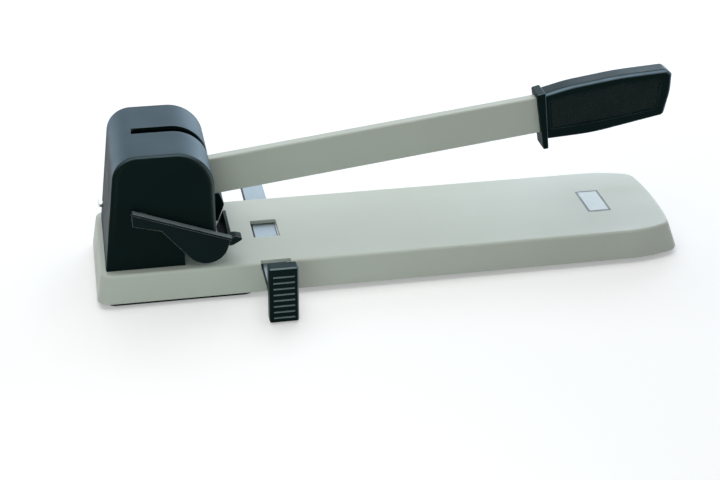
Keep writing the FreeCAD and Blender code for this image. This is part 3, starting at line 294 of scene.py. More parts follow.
class Finish:
    """A material being built: one Principled shader and the nodes that feed it."""

    def __init__(self, name, color, roughness, metallic=0.0, specular=0.5):
        self.material = bpy.data.materials.new(name)
        self.material.use_nodes = True
        self.material.diffuse_color = opaque(color)
        self.tree = self.material.node_tree
        self.shader = self.tree.nodes["Principled BSDF"]
        self.color = color
        self.set("Base Color", opaque(color))
        self.set("Roughness", roughness)
        self.set("Metallic", metallic)
        self.set("Specular IOR Level", specular)
        self.coords = self.node("TexCoord", {}).outputs["Object"]
        self.normal = None

    def set(self, socket, value):
        """Give the shader's socket a plain value, or feed it from a node."""
        feed(self.tree, self.shader.inputs[socket], value)

    def node(self, kind, inputs, **attributes):
        return add_node(self.tree, kind, inputs, **attributes)

    def stretched(self, scale):
        return self.node("Mapping", {"Vector": self.coords, "Scale": scale}).outputs["Vector"]

    def noise(self, per_metre, detail, roughness, stretch=None):
        """Clouds of a given size, drawn out along an axis where stretch is under 1."""
        where = self.stretched(stretch) if stretch else self.coords
        return self.node("TexNoise", {"Vector": where, "Scale": per_metre, "Detail": detail,
                                      "Roughness": roughness}).outputs["Fac"]

    def cells(self, per_metre):
        """Distance from the middle of irregular cells."""
        cells = self.node("TexVoronoi", {"Vector": self.coords, "Scale": per_metre})
        return cells.outputs["Distance"]

    def remap(self, source, low, high, to_low=0.0, to_high=1.0):
        """Low becomes to_low and high to_high; values beyond them are held."""
        return self.node("MapRange", {"Value": source, "From Min": low, "From Max": high,
                                      "To Min": to_low, "To Max": to_high}).outputs["Result"]

    def mix(self, factor, first, second):
        """Colour mix; each side is a colour or the output of another node."""
        return self.node("Mix", {"Factor": factor, 6: opaque(first), 7: opaque(second)},
                         data_type="RGBA").outputs[2]

    def multiply(self, first, second):
        return self.node("Math", {0: first, 1: second}, operation="MULTIPLY").outputs["Value"]

    def larger(self, first, second):
        return self.node("Math", {0: first, 1: second}, operation="MAXIMUM").outputs["Value"]

    def size_of(self, source):
        return self.node("Math", {0: source}, operation="ABSOLUTE").outputs["Value"]

    def split(self, vector):
        return self.node("SeparateXYZ", {"Vector": vector}).outputs

    def rounded_normal(self, radius, samples):
        """The surface's normal, as if every edge were rounded to a radius."""
        return self.node("Bevel", {"Radius": radius}, samples=samples).outputs["Normal"]

    def edges(self, radius, start, full):
        """Nearly 1 on edges and 0 on open faces, from rounded against true normals."""
        true_normal = self.node("NewGeometry", {}).outputs["Normal"]
        dot = self.node("VectorMath", {0: self.rounded_normal(radius, 6), 1: true_normal},
                        operation="DOT_PRODUCT")
        return self.remap(dot.outputs["Value"], start, full)

    def facing(self, axis):
        """How far the surface faces along one axis of its piece, from -1 to 1."""
        return self.split(self.node("TexCoord", {}).outputs["Normal"])[axis]

    def sideways(self):
        """How far the surface faces to either side, from 0 to 1."""
        return self.size_of(self.facing("Y"))

    def upper_arris(self, start, full):
        """1 on the rounded edges between a side and the top or front, and on ramps facing up."""
        slant = self.multiply(self.larger(self.facing("Z"), self.facing("X")), self.sideways())
        share = self.remap(slant, start, full)
        return self.multiply(share, share)

    def outward(self, rounded):
        """How far rounded normals lean away from the middle plane, negative towards it."""
        half = self.remap(self.split(self.coords)["Y"], -MM, MM, -1.0, 1.0)
        return self.multiply(rounded["Y"], half)

    def front_edge(self, rounded):
        """Grows to 1 on a side face as it nears the piece's front, and fades in with height."""
        leaning = self.remap(rounded["X"], *LEANS_FORWARD)
        side = self.remap(self.sideways(), *FACES_ASIDE)
        low, high = (height * MM for height in FRONT_HIGHLIGHT_HEIGHTS)
        raised = self.remap(self.split(self.coords)["Z"], low, high)
        return self.multiply(self.multiply(leaning, leaning), self.multiply(side, raised))

    def vary_color(self, factor, other):
        self.set("Base Color", self.mix(factor, self.color, other))

    def vary(self, socket, source, low, high, to_low, to_high):
        self.set(socket, self.remap(source, low, high, to_low, to_high))

    def bump(self, height, distance, strength):
        """Relief on top of the relief that is there; the distance is in metres."""
        inputs = {"Distance": distance, "Strength": strength, "Height": height}
        if self.normal is not None:
            inputs["Normal"] = self.normal
        self.normal = self.node("Bump", inputs).outputs["Normal"]
        self.set("Normal", self.normal)


# ---- finishes ----
def enamel(name, color, roughness, peel):
    """Stoved enamel: faint orange peel, slow shifts of tone, fine specks and rubbed edges."""
    finish = Finish(name, color, roughness, specular=0.30)
    clouds = finish.remap(finish.noise(9.0, 3.0, 0.6), 0.35, 0.7)
    tone = finish.mix(clouds, color, tinted(color, 0.955))
    specks = finish.remap(finish.noise(1400.0, 2.0, 0.7), 0.66, 0.74, 0.0, 0.35)
    tone = finish.mix(specks, tone, tinted(color, 0.80))
    handled = finish.remap(finish.noise(60.0, 4.0, 0.7), 0.42, 0.62, 0.0, 0.55)
    rubbed = finish.multiply(finish.edges(1.2 * MM, 0.985, 0.80), handled)
    finish.set("Base Color", finish.mix(rubbed, tone, tinted(color, 0.95)))
    smears = finish.noise(26.0, 5.0, 0.65, stretch=(0.4, 1.0, 1.0))
    finish.vary("Roughness", smears, *NOISE_SPREAD, roughness - 0.07, roughness + 0.09)
    finish.set("Coat Weight", 0.05)
    finish.set("Coat Roughness", 0.28)
    finish.bump(finish.noise(peel, 2.0, 0.5), 0.09 * MM, 0.55)
    finish.bump(finish.noise(2600.0, 2.0, 0.6), 0.03 * MM, 0.4)
    return finish.material


def black_moulding(name, color, roughness, wear_and_light, grain, depth, front_rounding=None):
    """Spark-eroded black moulding: fine grain, dust and a painted sheen on top, rubbed edges with
    a painted highlight, and a painted highlight on upper arrises.

    The grain is in cells per metre and its depth in millimetres. With a front rounding, a highlight
    is painted on the side faces towards the front edge, as a wide curve would catch light.
    """
    finish = Finish(name, color, roughness)
    finish.set("Specular Tint", PAINTED_BLUE_GLOSS)
    finish.set("Sheen Roughness", 0.42)
    finish.set("Sheen Tint", PAINTED_BLUE_SHEEN)
    upward = finish.facing("Z")
    if front_rounding:
        rounded = finish.split(finish.rounded_normal(front_rounding * MM, 8))
        leaning_out = finish.outward(rounded)
    else:
        leaning_out = finish.sideways()
    # Dust shows as sheen on upward faces; painted shade fades it where normals lean to the sides.
    lying = finish.remap(upward, *FACES_UP, 0.04, 1.0)
    away_from_sides = finish.remap(leaning_out, *LEANS_OUT, 1.0, 0.1)
    dust_and_painted_sheen = finish.multiply(lying, away_from_sides)
    finish.vary("Sheen Weight", dust_and_painted_sheen, 0.0, 1.0, 0.0, wear_and_light.sheen)
    # Painted shade on reflections: a lower specular level on side faces than on tops.
    finish.vary("Specular IOR Level", upward, *FACES_UP, 0.035, 0.09)

    dust = finish.remap(finish.noise(14.0, 5.0, 0.65), 0.45, 0.8, 0.0, 0.5)
    tone = finish.mix(dust, color, tinted(color, 1.6))
    handled = finish.remap(finish.noise(85.0, 3.0, 0.6), 0.35, 0.65, 0.3, 1.0)
    # Lighter edges come from rubbed wear and also from a painted edge highlight.
    rubbed = finish.multiply(finish.edges(1.1 * MM, 0.98, 0.75), handled)
    tone = finish.mix(rubbed, tone, wear_and_light.edge)
    # A highlight is painted on the upper arrises and on ramps facing up, varied by noise.
    arris_highlight_variation = finish.remap(finish.noise(40.0, 3.0, 0.6), 0.3, 0.6, 0.75, 1.0)
    painted_arris_highlight = finish.multiply(finish.upper_arris(*wear_and_light.slant), arris_highlight_variation)
    tone = finish.mix(painted_arris_highlight, tone, wear_and_light.arris)
    # A highlight is painted on the side faces towards the front edge.
    if front_rounding:
        tone = finish.mix(finish.front_edge(rounded), tone, PAINTED_FRONT_HIGHLIGHT)
    finish.set("Base Color", tone)

    smears = finish.noise(38.0, 4.0, 0.6)
    finish.vary("Roughness", smears, *NOISE_SPREAD, roughness - 0.05, roughness + 0.08)
    finish.bump(finish.cells(grain), depth * MM, 0.5)
    finish.bump(finish.noise(grain * 2.3, 2.0, 0.6), depth * MM * 0.6, 0.5)
    return finish.material


def worn_black_enamel(name, color):
    """Thin black enamel on sheet steel, rubbed to bare metal along its cut edges."""
    finish = Finish(name, color, 0.36, specular=0.09)
    finish.set("Specular Tint", PAINTED_BLUE_GLOSS)
    chipped = finish.remap(finish.noise(120.0, 4.0, 0.7), 0.30, 0.55, 0.45, 1.0)
    bare = finish.multiply(finish.edges(0.6 * MM, 0.96, 0.72), chipped)
    finish.vary_color(bare, BARE_STEEL)
    finish.vary("Metallic", bare, 0.0, 1.0, 0.0, 0.75)
    finish.vary("Roughness", finish.noise(45.0, 4.0, 0.6), *NOISE_SPREAD, 0.30, 0.44)
    finish.bump(finish.noise(900.0, 2.0, 0.5), 0.05 * MM, 0.5)
    return finish.material


def brushed_metal(name, color, roughness, along, painted_lip_shade=False):
    """Metal with long fine brush lines along one axis and cloudy handling marks."""
    finish = Finish(name, color, roughness, metallic=1.0)
    stretch = [0.03 if axis == along else 1.0 for axis in "xyz"]
    lines = finish.noise(2600.0, 4.0, 0.7, stretch)
    clouds = finish.remap(finish.noise(34.0, 5.0, 0.65), 0.3, 0.75)
    tone = finish.mix(clouds, color, tinted(color, 0.9))
    tone = finish.mix(finish.remap(lines, 0.4, 0.8, 0.0, 0.4), tone, tinted(color, 0.72))
    # A shade is painted on the ruler's folded left lip.
    if painted_lip_shade:
        tone = finish.mix(ruler_lip_shade_mask(finish), tone, LIP_SHADE_TONE)
    finish.set("Base Color", tone)
    finish.vary("Roughness", lines, 0.25, 0.75, roughness - 0.08, roughness + 0.12)
    finish.bump(lines, 0.03 * MM, 0.6)
    return finish.material


def ruler_lip_shade_mask(finish):
    """1 on the ruler's folded left lip and 0 on the rest of it."""
    edge = RULER_LEFT + RULER_LIP_WIDTH * MM
    blend = RULER_LIP_BLEND * MM
    return finish.remap(finish.split(finish.coords)["X"], edge + blend, edge - blend)


def cast_iron(name, color):
    """Shot-blasted casting under a thin dark primer."""
    finish = Finish(name, color, 0.55, metallic=0.25, specular=0.4)
    pits = finish.noise(700.0, 5.0, 0.7)
    patches = finish.remap(finish.noise(22.0, 5.0, 0.6), 0.35, 0.7)
    finish.vary_color(patches, tinted(color, 0.6))
    finish.vary("Roughness", pits, *NOISE_SPREAD, 0.46, 0.68)
    finish.bump(pits, 0.2 * MM, 0.6)
    return finish.material


def oiled_metal(name, color, roughness):
    """Machined metal under a film of oil that has gathered in patches."""
    finish = Finish(name, color, roughness, metallic=1.0)
    film = finish.noise(90.0, 5.0, 0.6)
    finish.vary_color(finish.remap(film, 0.42, 0.62, 0.0, 0.85), tinted(color, 0.5))
    finish.vary("Roughness", film, *NOISE_SPREAD, roughness - 0.12, roughness + 0.1)
    finish.set("Coat Weight", 0.4)
    finish.set("Coat Roughness", 0.12)
    finish.bump(finish.noise(1500.0, 3.0, 0.6), 0.04 * MM, 0.5)
    return finish.material


def foot_rubber(name, color):
    """Soft black rubber with picked-up dust."""
    finish = Finish(name, color, 0.78, specular=0.3)
    dust = finish.remap(finish.noise(180.0, 5.0, 0.7), 0.5, 0.75, 0.0, 0.6)
    finish.vary_color(dust, SETTLED_DUST)
    finish.vary("Roughness", finish.noise(240.0, 3.0, 0.6), *NOISE_SPREAD, 0.68, 0.9)
    finish.bump(finish.noise(1800.0, 3.0, 0.6), 0.08 * MM, 0.6)
    return finish.material


def label_film(name, color):
    """Printed film: pale or inked, slightly glossy, with a faint fibre."""
    finish = Finish(name, color, 0.34, specular=0.5)
    fibre = finish.remap(finish.noise(160.0, 4.0, 0.6), 0.4, 0.75)
    finish.vary_color(fibre, tinted(color, 0.93))
    finish.vary("Roughness", finish.noise(70.0, 3.0, 0.6), *NOISE_SPREAD, 0.26, 0.42)
    finish.bump(finish.noise(1100.0, 2.0, 0.5), 0.02 * MM, 0.5)
    return finish.material


def glowing_floor(color):
    """Pale floor that fades to plain white away from the machine and keeps its shadow."""
    finish = Finish("pale_floor", color, 0.85, specular=0.1)
    away = finish.node("VectorMath", {0: finish.coords}, operation="LENGTH").outputs["Value"]
    glow = finish.remap(away, *FLOOR_GLOW_REACH, *FLOOR_GLOW)
    finish.set("Emission Color", opaque(WHITE))
    finish.set("Emission Strength", finish.multiply(glow, seen_by_eye(finish.tree)))
    return finish.material


def give(material, *nodes):
    """Put a finish on every material slot of the named nodes."""
    for name in nodes:
        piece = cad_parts.get(name)
        if piece is None:
            raise RuntimeError("no part named " + name)
        piece.data.materials.clear()
        piece.data.materials.append(material)


def both(*stems):
    """The near and the far node of each pair."""
    return [stem + "_" + side for stem in stems for side in SIDES]


# ---- settings ----
def colour_prop(name, description, default):
    return FloatVectorProperty(name=name, description=description, default=default,
                               subtype="COLOR", size=3, min=0.0, max=1.0)


def factor_prop(name, description, default, low, high):
    return FloatProperty(name=name, description=description, default=default, min=low, max=high,
                         subtype="FACTOR")


def length_prop(name, description, default, low, high):
    return FloatProperty(name=name, description=description, default=default, min=low, max=high,
                         precision=5, subtype="DISTANCE", unit="LENGTH")


def power_prop(name, description, default):
    return FloatProperty(name=name, description=description, default=default, min=0.0, max=500.0,
                         subtype="POWER", unit="POWER")


class EnamelSettings(PropertyGroup):
    color: colour_prop("Enamel", "Colour of the enamelled base and lever", (0.56, 0.60, 0.535))
    roughness: factor_prop("Roughness", "Roughness of the enamel, 0 is a mirror", 0.40, 0.1, 0.9)


class MouldingSettings(PropertyGroup):
    cover: colour_prop("Cover", "Colour of the head cover", (0.0035, 0.0095, 0.0085))
    grip: colour_prop("Grip", "Colour of the handle", (0.004, 0.0115, 0.0105))
    clamp: colour_prop("Clamps", "Colour of the clamps' enamel", (0.002, 0.007, 0.007))
    roughness: factor_prop("Roughness", "Roughness of the cover, 0 is a mirror", 0.44, 0.1, 0.9)


class MetalSettings(PropertyGroup):
    ruler: colour_prop("Ruler", "Colour of the guide's steel strip", (0.245, 0.292, 0.325))
    works: colour_prop("Works", "Colour of the machined steel", (0.52, 0.53, 0.54))
    bronze: colour_prop("Bushes", "Colour of the bronze bushes", (0.55, 0.38, 0.17))


class GripPatternSettings(PropertyGroup):
    pitch: length_prop("Pitch", "Distance between the chequer's points", 0.0020, 0.001, 0.006)
    height: length_prop("Height", "Height of the chequer's points", 0.0006, 0.0001, 0.001)


class RidgeSettings(PropertyGroup):
    count: IntProperty(name="Ridges", description="Ridges along the thumb flange",
                       default=4, min=2, max=8)
    height: length_prop("Height", "Height of the ridges", 0.0004, 0.0001, 0.001)


class LabelSettings(PropertyGroup):
    length: length_prop("Length", "Length of the label across the base", 0.0394, 0.01, 0.08)
    width: length_prop("Width", "Width of the label along the base", 0.0215, 0.005, 0.04)
    film: colour_prop("Film", "Colour of the label", (0.54, 0.605, 0.62))
    border: colour_prop("Border", "Colour of the label's border", (0.012, 0.02, 0.022))


class BracketSettings(PropertyGroup):
    rows: IntProperty(name="Screw rows", description="Rows of screws across the guide bracket",
                      default=2, min=1, max=4)


class StageSettings(PropertyGroup):
    floor: colour_prop("Floor", "Colour of the floor", (0.80, 0.80, 0.80))
    key: power_prop("Key", "Power of the large overhead light", 20.0)
    sheen: power_prop("Sheen", "Power of the cool light behind the punch", 9.0)
    curve: power_prop("Curve", "Power of the cool light behind the nose", 17.0)
    fill: power_prop("Fill", "Power of the small light in front of the near side", 0.75)
    ambient: factor_prop("Ambient", "Strength of the light from all round", 0.165, 0.0, 1.0)


def group_prop(kind, name, description):
    return PointerProperty(type=kind, name=name, description=description)


class PunchSettings(PropertyGroup):
    enamel: group_prop(EnamelSettings, "Enamel", "Enamel of the base and lever")
    moulding: group_prop(MouldingSettings, "Black pieces", "Cover, handle and clamps")
    metal: group_prop(MetalSettings, "Metals", "Ruler, works and bushes")
    chequer: group_prop(GripPatternSettings, "Chequer", "Pattern of the handle's side panels")
    ridges: group_prop(RidgeSettings, "Ridges", "Ridges of the clamps' thumb flanges")
    label: group_prop(LabelSettings, "Label", "Label on the nose")
    bracket: group_prop(BracketSettings, "Bracket", "Screws of the guide bracket")
    stage: group_prop(StageSettings, "Stage", "Floor and lights")


# ---- operators ----
class PUNCH_OT_base(Operator):
    """Enamel the base casting with its die plate and finish the paper stop"""
    bl_idname = "punch.base"
    bl_label = "Base"

    def execute(self, context):
        settings = context.scene.punch
        paint = settings.enamel
        give(enamel("cream_base_enamel", paint.color, paint.roughness, peel=420.0),
             "base_casting", "die_plate")
        give(brushed_metal("stop_sheet", settings.metal.works, 0.34, "z"), "paper_stop")
        return {"FINISHED"}


class PUNCH_OT_label(Operator):
    """Stick the bare label with its dark border on the nose"""
    bl_idname = "punch.label"
    bl_label = "Label"

    def execute(self, context):
        label = context.scene.punch.label
        seat = place(*LABEL_MIDDLE, 0.0)
        seat.z = BASE_TOP
        half_x, half_y = label.width / 2, label.length / 2
        self.sheet(seat, half_x, half_y, label_film("label_film", label.film))
        margin = BORDER_MARGIN * MM
        self.border(seat + Vector((0, 0, LABEL_THICKNESS * MM)), half_x - margin, half_y - margin,
                    label_film("label_border_ink", label.border))
        return {"FINISHED"}

    def sheet(self, seat, half_x, half_y, material):
        """The film, a thin closed plate sunk a little into the enamel."""
        loop = rounded_loop(half_x, half_y, LABEL_CORNER * MM)
        count = len(loop)
        points = [seat + Vector((x, y, z * MM)) for z in (-LABEL_SINK, LABEL_THICKNESS)
                  for x, y in loop]
        faces = [(i, (i + 1) % count, count + (i + 1) % count, count + i) for i in range(count)]
        faces += [tuple(range(count)), tuple(range(count, 2 * count))]
        return add_piece("label_sheet", points, faces, material, "base")

    def border(self, seat, half_x, half_y, material):
        """A flat frame of ink along the film's edge."""
        outer_corner, inner_corner = (corner * MM for corner in BORDER_CORNERS)
        wide = BORDER_WIDTH * MM
        outer = rounded_loop(half_x, half_y, outer_corner)
        inner = rounded_loop(half_x - wide, half_y - wide, inner_corner)
        count = len(outer)
        points = [seat + Vector((x, y, z * MM)) for loop in (outer, inner)
                  for z in (-BORDER_SINK, BORDER_THICKNESS) for x, y in loop]
        low_out, top_out, low_in, top_in = (count * i for i in range(4))
        faces = []
        for i in range(count):
            j = (i + 1) % count
            for one, other in ((top_out, top_in), (low_out, top_out), (low_in, top_in),
                               (low_out, low_in)):
                faces.append((one + i, one + j, other + j, other + i))
        return add_piece("label_border", points, faces, material, "base")


class PUNCH_OT_cover(Operator):
    """Finish the head cover, the beak under the lever and the rear screw"""
    bl_idname = "punch.cover"
    bl_label = "Head cover"

    def execute(self, context):
        moulding = context.scene.punch.moulding
        give(black_moulding("grained_cover", moulding.cover, moulding.roughness, COVER_WEAR_AND_LIGHT,
                            grain=1500.0, depth=0.07, front_rounding=COVER_ROUNDING), "head_cover")
        give(black_moulding("beak_moulding", moulding.cover, 0.5, COVER_WEAR_AND_LIGHT,
                            grain=1500.0, depth=0.06), "arm_rest")
        give(brushed_metal("bright_zinc", BRIGHT_ZINC, 0.24, "y"), "cover_screw")
        return {"FINISHED"}


class PUNCH_OT_lever(Operator):
    """Enamel the lever's channel, a shade darker and finer than the casting"""
    bl_idname = "punch.lever"
    bl_label = "Lever"

    def execute(self, context):
        paint = context.scene.punch.enamel
        color = tinted(paint.color, LEVER_SHADE)
        give(enamel("cream_lever_enamel", color, paint.roughness, peel=620.0), "lever_arm")
        return {"FINISHED"}


class PUNCH_OT_grip(Operator):
    """Finish the handle and raise the chequered panels on its sides"""
    bl_idname = "punch.grip"
    bl_label = "Grip"

    def execute(self, context):
        settings = context.scene.punch
        color = settings.moulding.grip
        give(black_moulding("grip_moulding", color, 0.40, GRIP_WEAR_AND_LIGHT, grain=1300.0, depth=0.06),
             "grip")
        give(brushed_metal("grip_screw_zinc", FITTING_ZINC, 0.28, "y"), "grip_screw", "grip_nut")
        material = black_moulding("chequer_moulding", tinted(color, CHEQUER_SHADE), 0.5,
                                  CHEQUER_WEAR_AND_LIGHT, grain=1800.0, depth=0.03)
        for name, side in SIDES.items():
            self.chequer("grip_chequer_" + name, side, settings.chequer, material)
        return {"FINISHED"}

    def point_places(self, pitch):
        """Middles of the diamonds that stand clear of the panel's edges."""
        left, right = (pick(u for u, _ in GRIP_PANEL) for pick in (min, max))
        low, high = (pick(v for _, v in GRIP_PANEL) for pick in (min, max))
        places = []
        for row in range(int((high - low) / pitch * 2) + 1):
            v = low + row * pitch / 2
            for column in range(int((right - left) / pitch) + 1):
                u = left + (column + row % 2 / 2) * pitch
                if self.depth_in_panel(u, v) > pitch * POINT_CLEARANCE:
                    places.append((GRIP_START + u, GRIP_MIDDLE + v))
        return places

    def depth_in_panel(self, u, v):
        """Distance from the nearest edge of the panel, negative outside it."""
        depths = []
        for i, (u0, v0) in enumerate(GRIP_PANEL):
            u1, v1 = GRIP_PANEL[(i + 1) % len(GRIP_PANEL)]
            length = math.hypot(u1 - u0, v1 - v0)
            depths.append(((u1 - u0) * (v - v0) - (v1 - v0) * (u - u0)) / length)
        return min(depths)

    def chequer(self, name, side, pattern, material):
        """Diamond points in rows, as one mesh, standing on the sunk panel."""
        pitch, tall = pattern.pitch / MM, pattern.height / MM
        reach = pitch / 2 * POINT_SPREAD
        face = GRIP_SIDE / MM - GRIP_PANEL_DEPTH
        foot, tip = side * (face - POINT_SINK), side * (face + tall)
        points, faces = [], []
        for u, v in self.point_places(pitch):
            first = len(points)
            for du, dv in ((reach, 0), (0, reach), (-reach, 0), (0, -reach)):
                points.append(lever_place(u + du, v + dv, foot))
            points.append(lever_place(u, v, tip))
            faces.append((first, first + 1, first + 2, first + 3))
            for i in range(4):
                faces.append((first + i, first + (i + 1) % 4, first + 4))
        return add_piece(name, points, faces, material, "lever")


class PUNCH_OT_clamps(Operator):
    """Finish the paper clamps and raise the ridges of their thumb flanges"""
    bl_idname = "punch.clamps"
    bl_label = "Paper clamps"

    def execute(self, context):
        settings = context.scene.punch
        give(worn_black_enamel("clamp_enamel", settings.moulding.clamp), *both("clamp_arm"))
        rubbed = worn_black_enamel("clamp_rib_enamel", RUBBED_RIDGE)
        for name, side in SIDES.items():
            self.ridges(name, side, settings.ridges, rubbed)
        return {"FINISHED"}

    def ridges(self, name, side, settings, material):
        """Low ribs that run the length of the flange, wider at the foot than at the crest."""
        run_x, run_z = CLAMP_FRONT[0] - CLAMP_TAIL[0], CLAMP_FRONT[1] - CLAMP_TAIL[1]
        length = math.hypot(run_x, run_z)
        along = (run_x / length, run_z / length)
        up = (-along[1], along[0])
        pitch = (CLAMP_FLANGE_WIDTH - 2 * RIDGE_SIDE_MARGIN) / settings.count
        tall = settings.height / MM
        section = ((-RIDGE_FOOT, -RIDGE_SINK), (RIDGE_FOOT, -RIDGE_SINK),
                   (RIDGE_CREST, tall), (-RIDGE_CREST, tall))
        points, faces = [], []
        for i in range(settings.count):
            middle = CLAMP_FLANGE_INNER + RIDGE_SIDE_MARGIN + pitch * (i + 0.5)
            first = len(points)
            for run in (RIDGE_END_MARGIN, length - RIDGE_END_MARGIN):
                for share, height in section:
                    points.append(place(CLAMP_TAIL[0] + along[0] * run + up[0] * height,
                                        side * (middle + share * pitch),
                                        CLAMP_TAIL[1] + along[1] * run + up[1] * height))
            for end in (first, first + 4):
                faces.append(tuple(range(end, end + 4)))
            for k in range(4):
                n = (k + 1) % 4
                faces.append((first + k, first + n, first + 4 + n, first + 4 + k))
        return add_piece("clamp_ridges_" + name, points, faces, material, "clamp_" + name)


class PUNCH_OT_guide(Operator):
    """Finish the paper guide's strip, its grooved stop and the bracket below"""
    bl_idname = "punch.guide"
    bl_label = "Paper guide"

    def execute(self, context):
        settings = context.scene.punch
        give(brushed_metal("ruler_steel", settings.metal.ruler, 0.40, "y", painted_lip_shade=True),
             "guide_ruler")
        give(black_moulding("stop_moulding", settings.moulding.grip, 0.34, STOP_WEAR_AND_LIGHT,
                            grain=1600.0, depth=0.04), "guide_stop")
        give(brushed_metal("bracket_sheet", settings.metal.works, 0.36, "y"),
             "guide_bracket", "guide_spring", "guide_screws")
        self.bracket_screws(settings.bracket.rows)
        return {"FINISHED"}

    def bracket_screws(self, rows):
        """Domed heads under the bracket, spread evenly between the outermost rows."""
        zinc = brushed_metal("bracket_screw_zinc", FITTING_ZINC, 0.28, "x")
        head, faces = turned_solid([(radius * MM, height * MM) for radius, height in SCREW_HEAD])
        for column, x in enumerate(BRACKET_SCREW_COLUMNS):
            for row in range(rows):
                y = -BRACKET_SCREW_REACH + 2 * BRACKET_SCREW_REACH * row / max(rows - 1, 1)
                points = [point + place(x, y, BRACKET_SCREW_SEAT) for point in head]
                add_piece(f"bracket_screw_{column}_{row}", points, faces, zinc, "base",
                          smooth=True)


class PUNCH_OT_works(Operator):
    """Finish the frame, gears, racks, posts, punches and springs inside the head"""
    bl_idname = "punch.works"
    bl_label = "Works"

    def execute(self, context):
        metal = context.scene.punch.metal
        give(cast_iron("frame_iron", PRIMED_IRON), "punch_frame", "crosshead")
        give(oiled_metal("gear_steel", GEAR_STEEL, 0.34), *both("drive_gear"))
        give(oiled_metal("shaft_steel", metal.works, 0.24),
             "lever_shaft", "gear_pins", "hub_spacer", *both("guide_post"))
        give(brushed_metal("punch_steel", metal.works, 0.22, "z"), *both("punch_pin"))
        give(oiled_metal("bush_bronze", metal.bronze, 0.34), *both("punch_bush", "shaft_bush"))
        give(oiled_metal("spring_steel", SPRING_STEEL, 0.32),
             *both("return_spring", "clamp_spring", "clamp_clip", "post_clip", "shaft_clip"))
        give(brushed_metal("frame_bolt_zinc", BOLT_ZINC, 0.32, "x"), "frame_bolts")
        return {"FINISHED"}


class PUNCH_OT_underside(Operator):
    """Finish the chip lid and the rubber feet"""
    bl_idname = "punch.underside"
    bl_label = "Lid and feet"

    def execute(self, context):
        moulding = context.scene.punch.moulding
        give(black_moulding("lid_moulding", moulding.cover, 0.52, COVER_WEAR_AND_LIGHT,
                            grain=1200.0, depth=0.06), "chip_lid")
        give(foot_rubber("foot_rubber", BLACK_RUBBER), *both("front_foot", "rear_foot"))
        return {"FINISHED"}


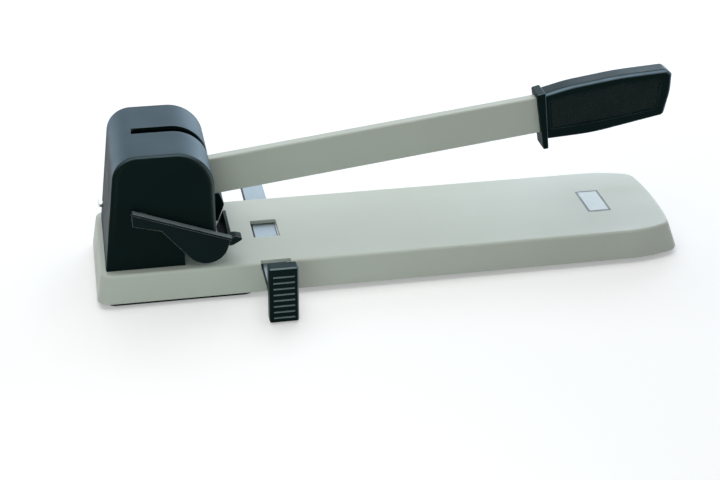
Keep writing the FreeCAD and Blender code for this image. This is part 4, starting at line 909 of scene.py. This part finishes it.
class PUNCH_OT_stage(Operator):
    """Lay the pale floor, hang the studio lights and set the camera"""
    bl_idname = "punch.stage"
    bl_label = "Stage"

    def execute(self, context):
        settings = context.scene.punch.stage
        context.scene.view_settings.view_transform = "Standard"
        self.floor(context, settings.floor)
        self.world(context, settings.ambient)
        for name, lamp in LAMPS.items():
            self.area_light(context, name, lamp, getattr(settings, lamp.power))
        self.camera(context)
        return {"FINISHED"}

    def floor(self, context, color):
        mesh = bpy.data.meshes.new("studio_floor")
        corners = [(sx * FLOOR_REACH, sy * FLOOR_REACH, 0)
                   for sx, sy in ((-1, -1), (1, -1), (1, 1), (-1, 1))]
        mesh.from_pydata(corners, [], [(0, 1, 2, 3)])
        mesh.materials.append(glowing_floor(color))
        floor = bpy.data.objects.new("studio_floor", mesh)
        context.scene.collection.objects.link(floor)

    def world(self, context, ambient):
        """Plain light from all round, which the eye sees as a white background."""
        world = bpy.data.worlds.new("studio")
        context.scene.world = world
        world.use_nodes = True
        tree = world.node_tree
        background = tree.nodes["Background"]
        feed(tree, background.inputs["Color"], opaque(WHITE))
        strength = add_node(tree, "MapRange", {"Value": seen_by_eye(tree), "To Min": ambient,
                                               "To Max": 1.0})
        feed(tree, background.inputs["Strength"], strength.outputs["Result"])

    def area_light(self, context, name, lamp, power):
        data = bpy.data.lights.new(name, "AREA")
        data.color = lamp.color
        data.shape = "SQUARE"
        data.size = lamp.side
        data.energy = power
        light = bpy.data.objects.new(name, data)
        context.scene.collection.objects.link(light)
        light.location = lamp.place
        aim = Vector(lamp.target) - Vector(lamp.place)
        light.rotation_euler = aim.to_track_quat("-Z", "Y").to_euler()

    def camera(self, context):
        """A camera turned by azimuth and elevation, then rolled about its own axis."""
        azimuth, elevation = math.radians(CAMERA_AZIMUTH), math.radians(CAMERA_ELEVATION)
        roll = math.radians(CAMERA_ROLL)
        back = Vector((math.sin(azimuth) * math.cos(elevation),
                       -math.cos(azimuth) * math.cos(elevation), math.sin(elevation)))
        right = Vector((math.cos(azimuth), math.sin(azimuth), 0.0))
        up = back.cross(right)
        rolled_right = right * math.cos(roll) + up * math.sin(roll)
        rolled_up = up * math.cos(roll) - right * math.sin(roll)
        turn = Matrix((rolled_right, rolled_up, back)).transposed()
        data = bpy.data.cameras.new("product_camera")
        data.sensor_width = CAMERA_SENSOR
        data.lens = CAMERA_LENS
        camera = bpy.data.objects.new("product_camera", data)
        context.scene.collection.objects.link(camera)
        camera.matrix_world = Matrix.Translation(CAMERA_PLACE) @ turn.to_4x4()
        context.scene.camera = camera


OPERATORS = (
    PUNCH_OT_base, PUNCH_OT_label, PUNCH_OT_cover, PUNCH_OT_lever, PUNCH_OT_grip, PUNCH_OT_clamps,
    PUNCH_OT_guide, PUNCH_OT_works, PUNCH_OT_underside, PUNCH_OT_stage,
)
GROUPS = (
    EnamelSettings, MouldingSettings, MetalSettings, GripPatternSettings, RidgeSettings,
    LabelSettings, BracketSettings, StageSettings, PunchSettings,
)


class PUNCH_PT_panel(Panel):
    """Sidebar panel with every piece of the punch"""
    bl_label = "Paper Punch"
    bl_idname = "PUNCH_PT_panel"
    bl_space_type = "VIEW_3D"
    bl_region_type = "UI"
    bl_category = "Punch"

    def draw(self, context):
        settings = context.scene.punch
        for group in PunchSettings.__annotations__:
            column = self.layout.column(align=True)
            column.label(text=settings.bl_rna.properties[group].name)
            values = getattr(settings, group)
            for name in values.__annotations__:
                column.prop(values, name)
        for operator in OPERATORS:
            self.layout.operator(operator.bl_idname)


def register():
    for item in (*GROUPS, *OPERATORS, PUNCH_PT_panel):
        bpy.utils.register_class(item)
    bpy.types.Scene.punch = group_prop(PunchSettings, "Punch", "Looks of the paper punch")


def unregister():
    del bpy.types.Scene.punch
    for item in reversed((*GROUPS, *OPERATORS, PUNCH_PT_panel)):
        bpy.utils.unregister_class(item)


def main():
    """Finish every piece and set the stage."""
    register()
    for operator in OPERATORS:
        group, name = operator.bl_idname.split(".")
        getattr(getattr(bpy.ops, group), name)()


if __name__ == "__main__":
    main()
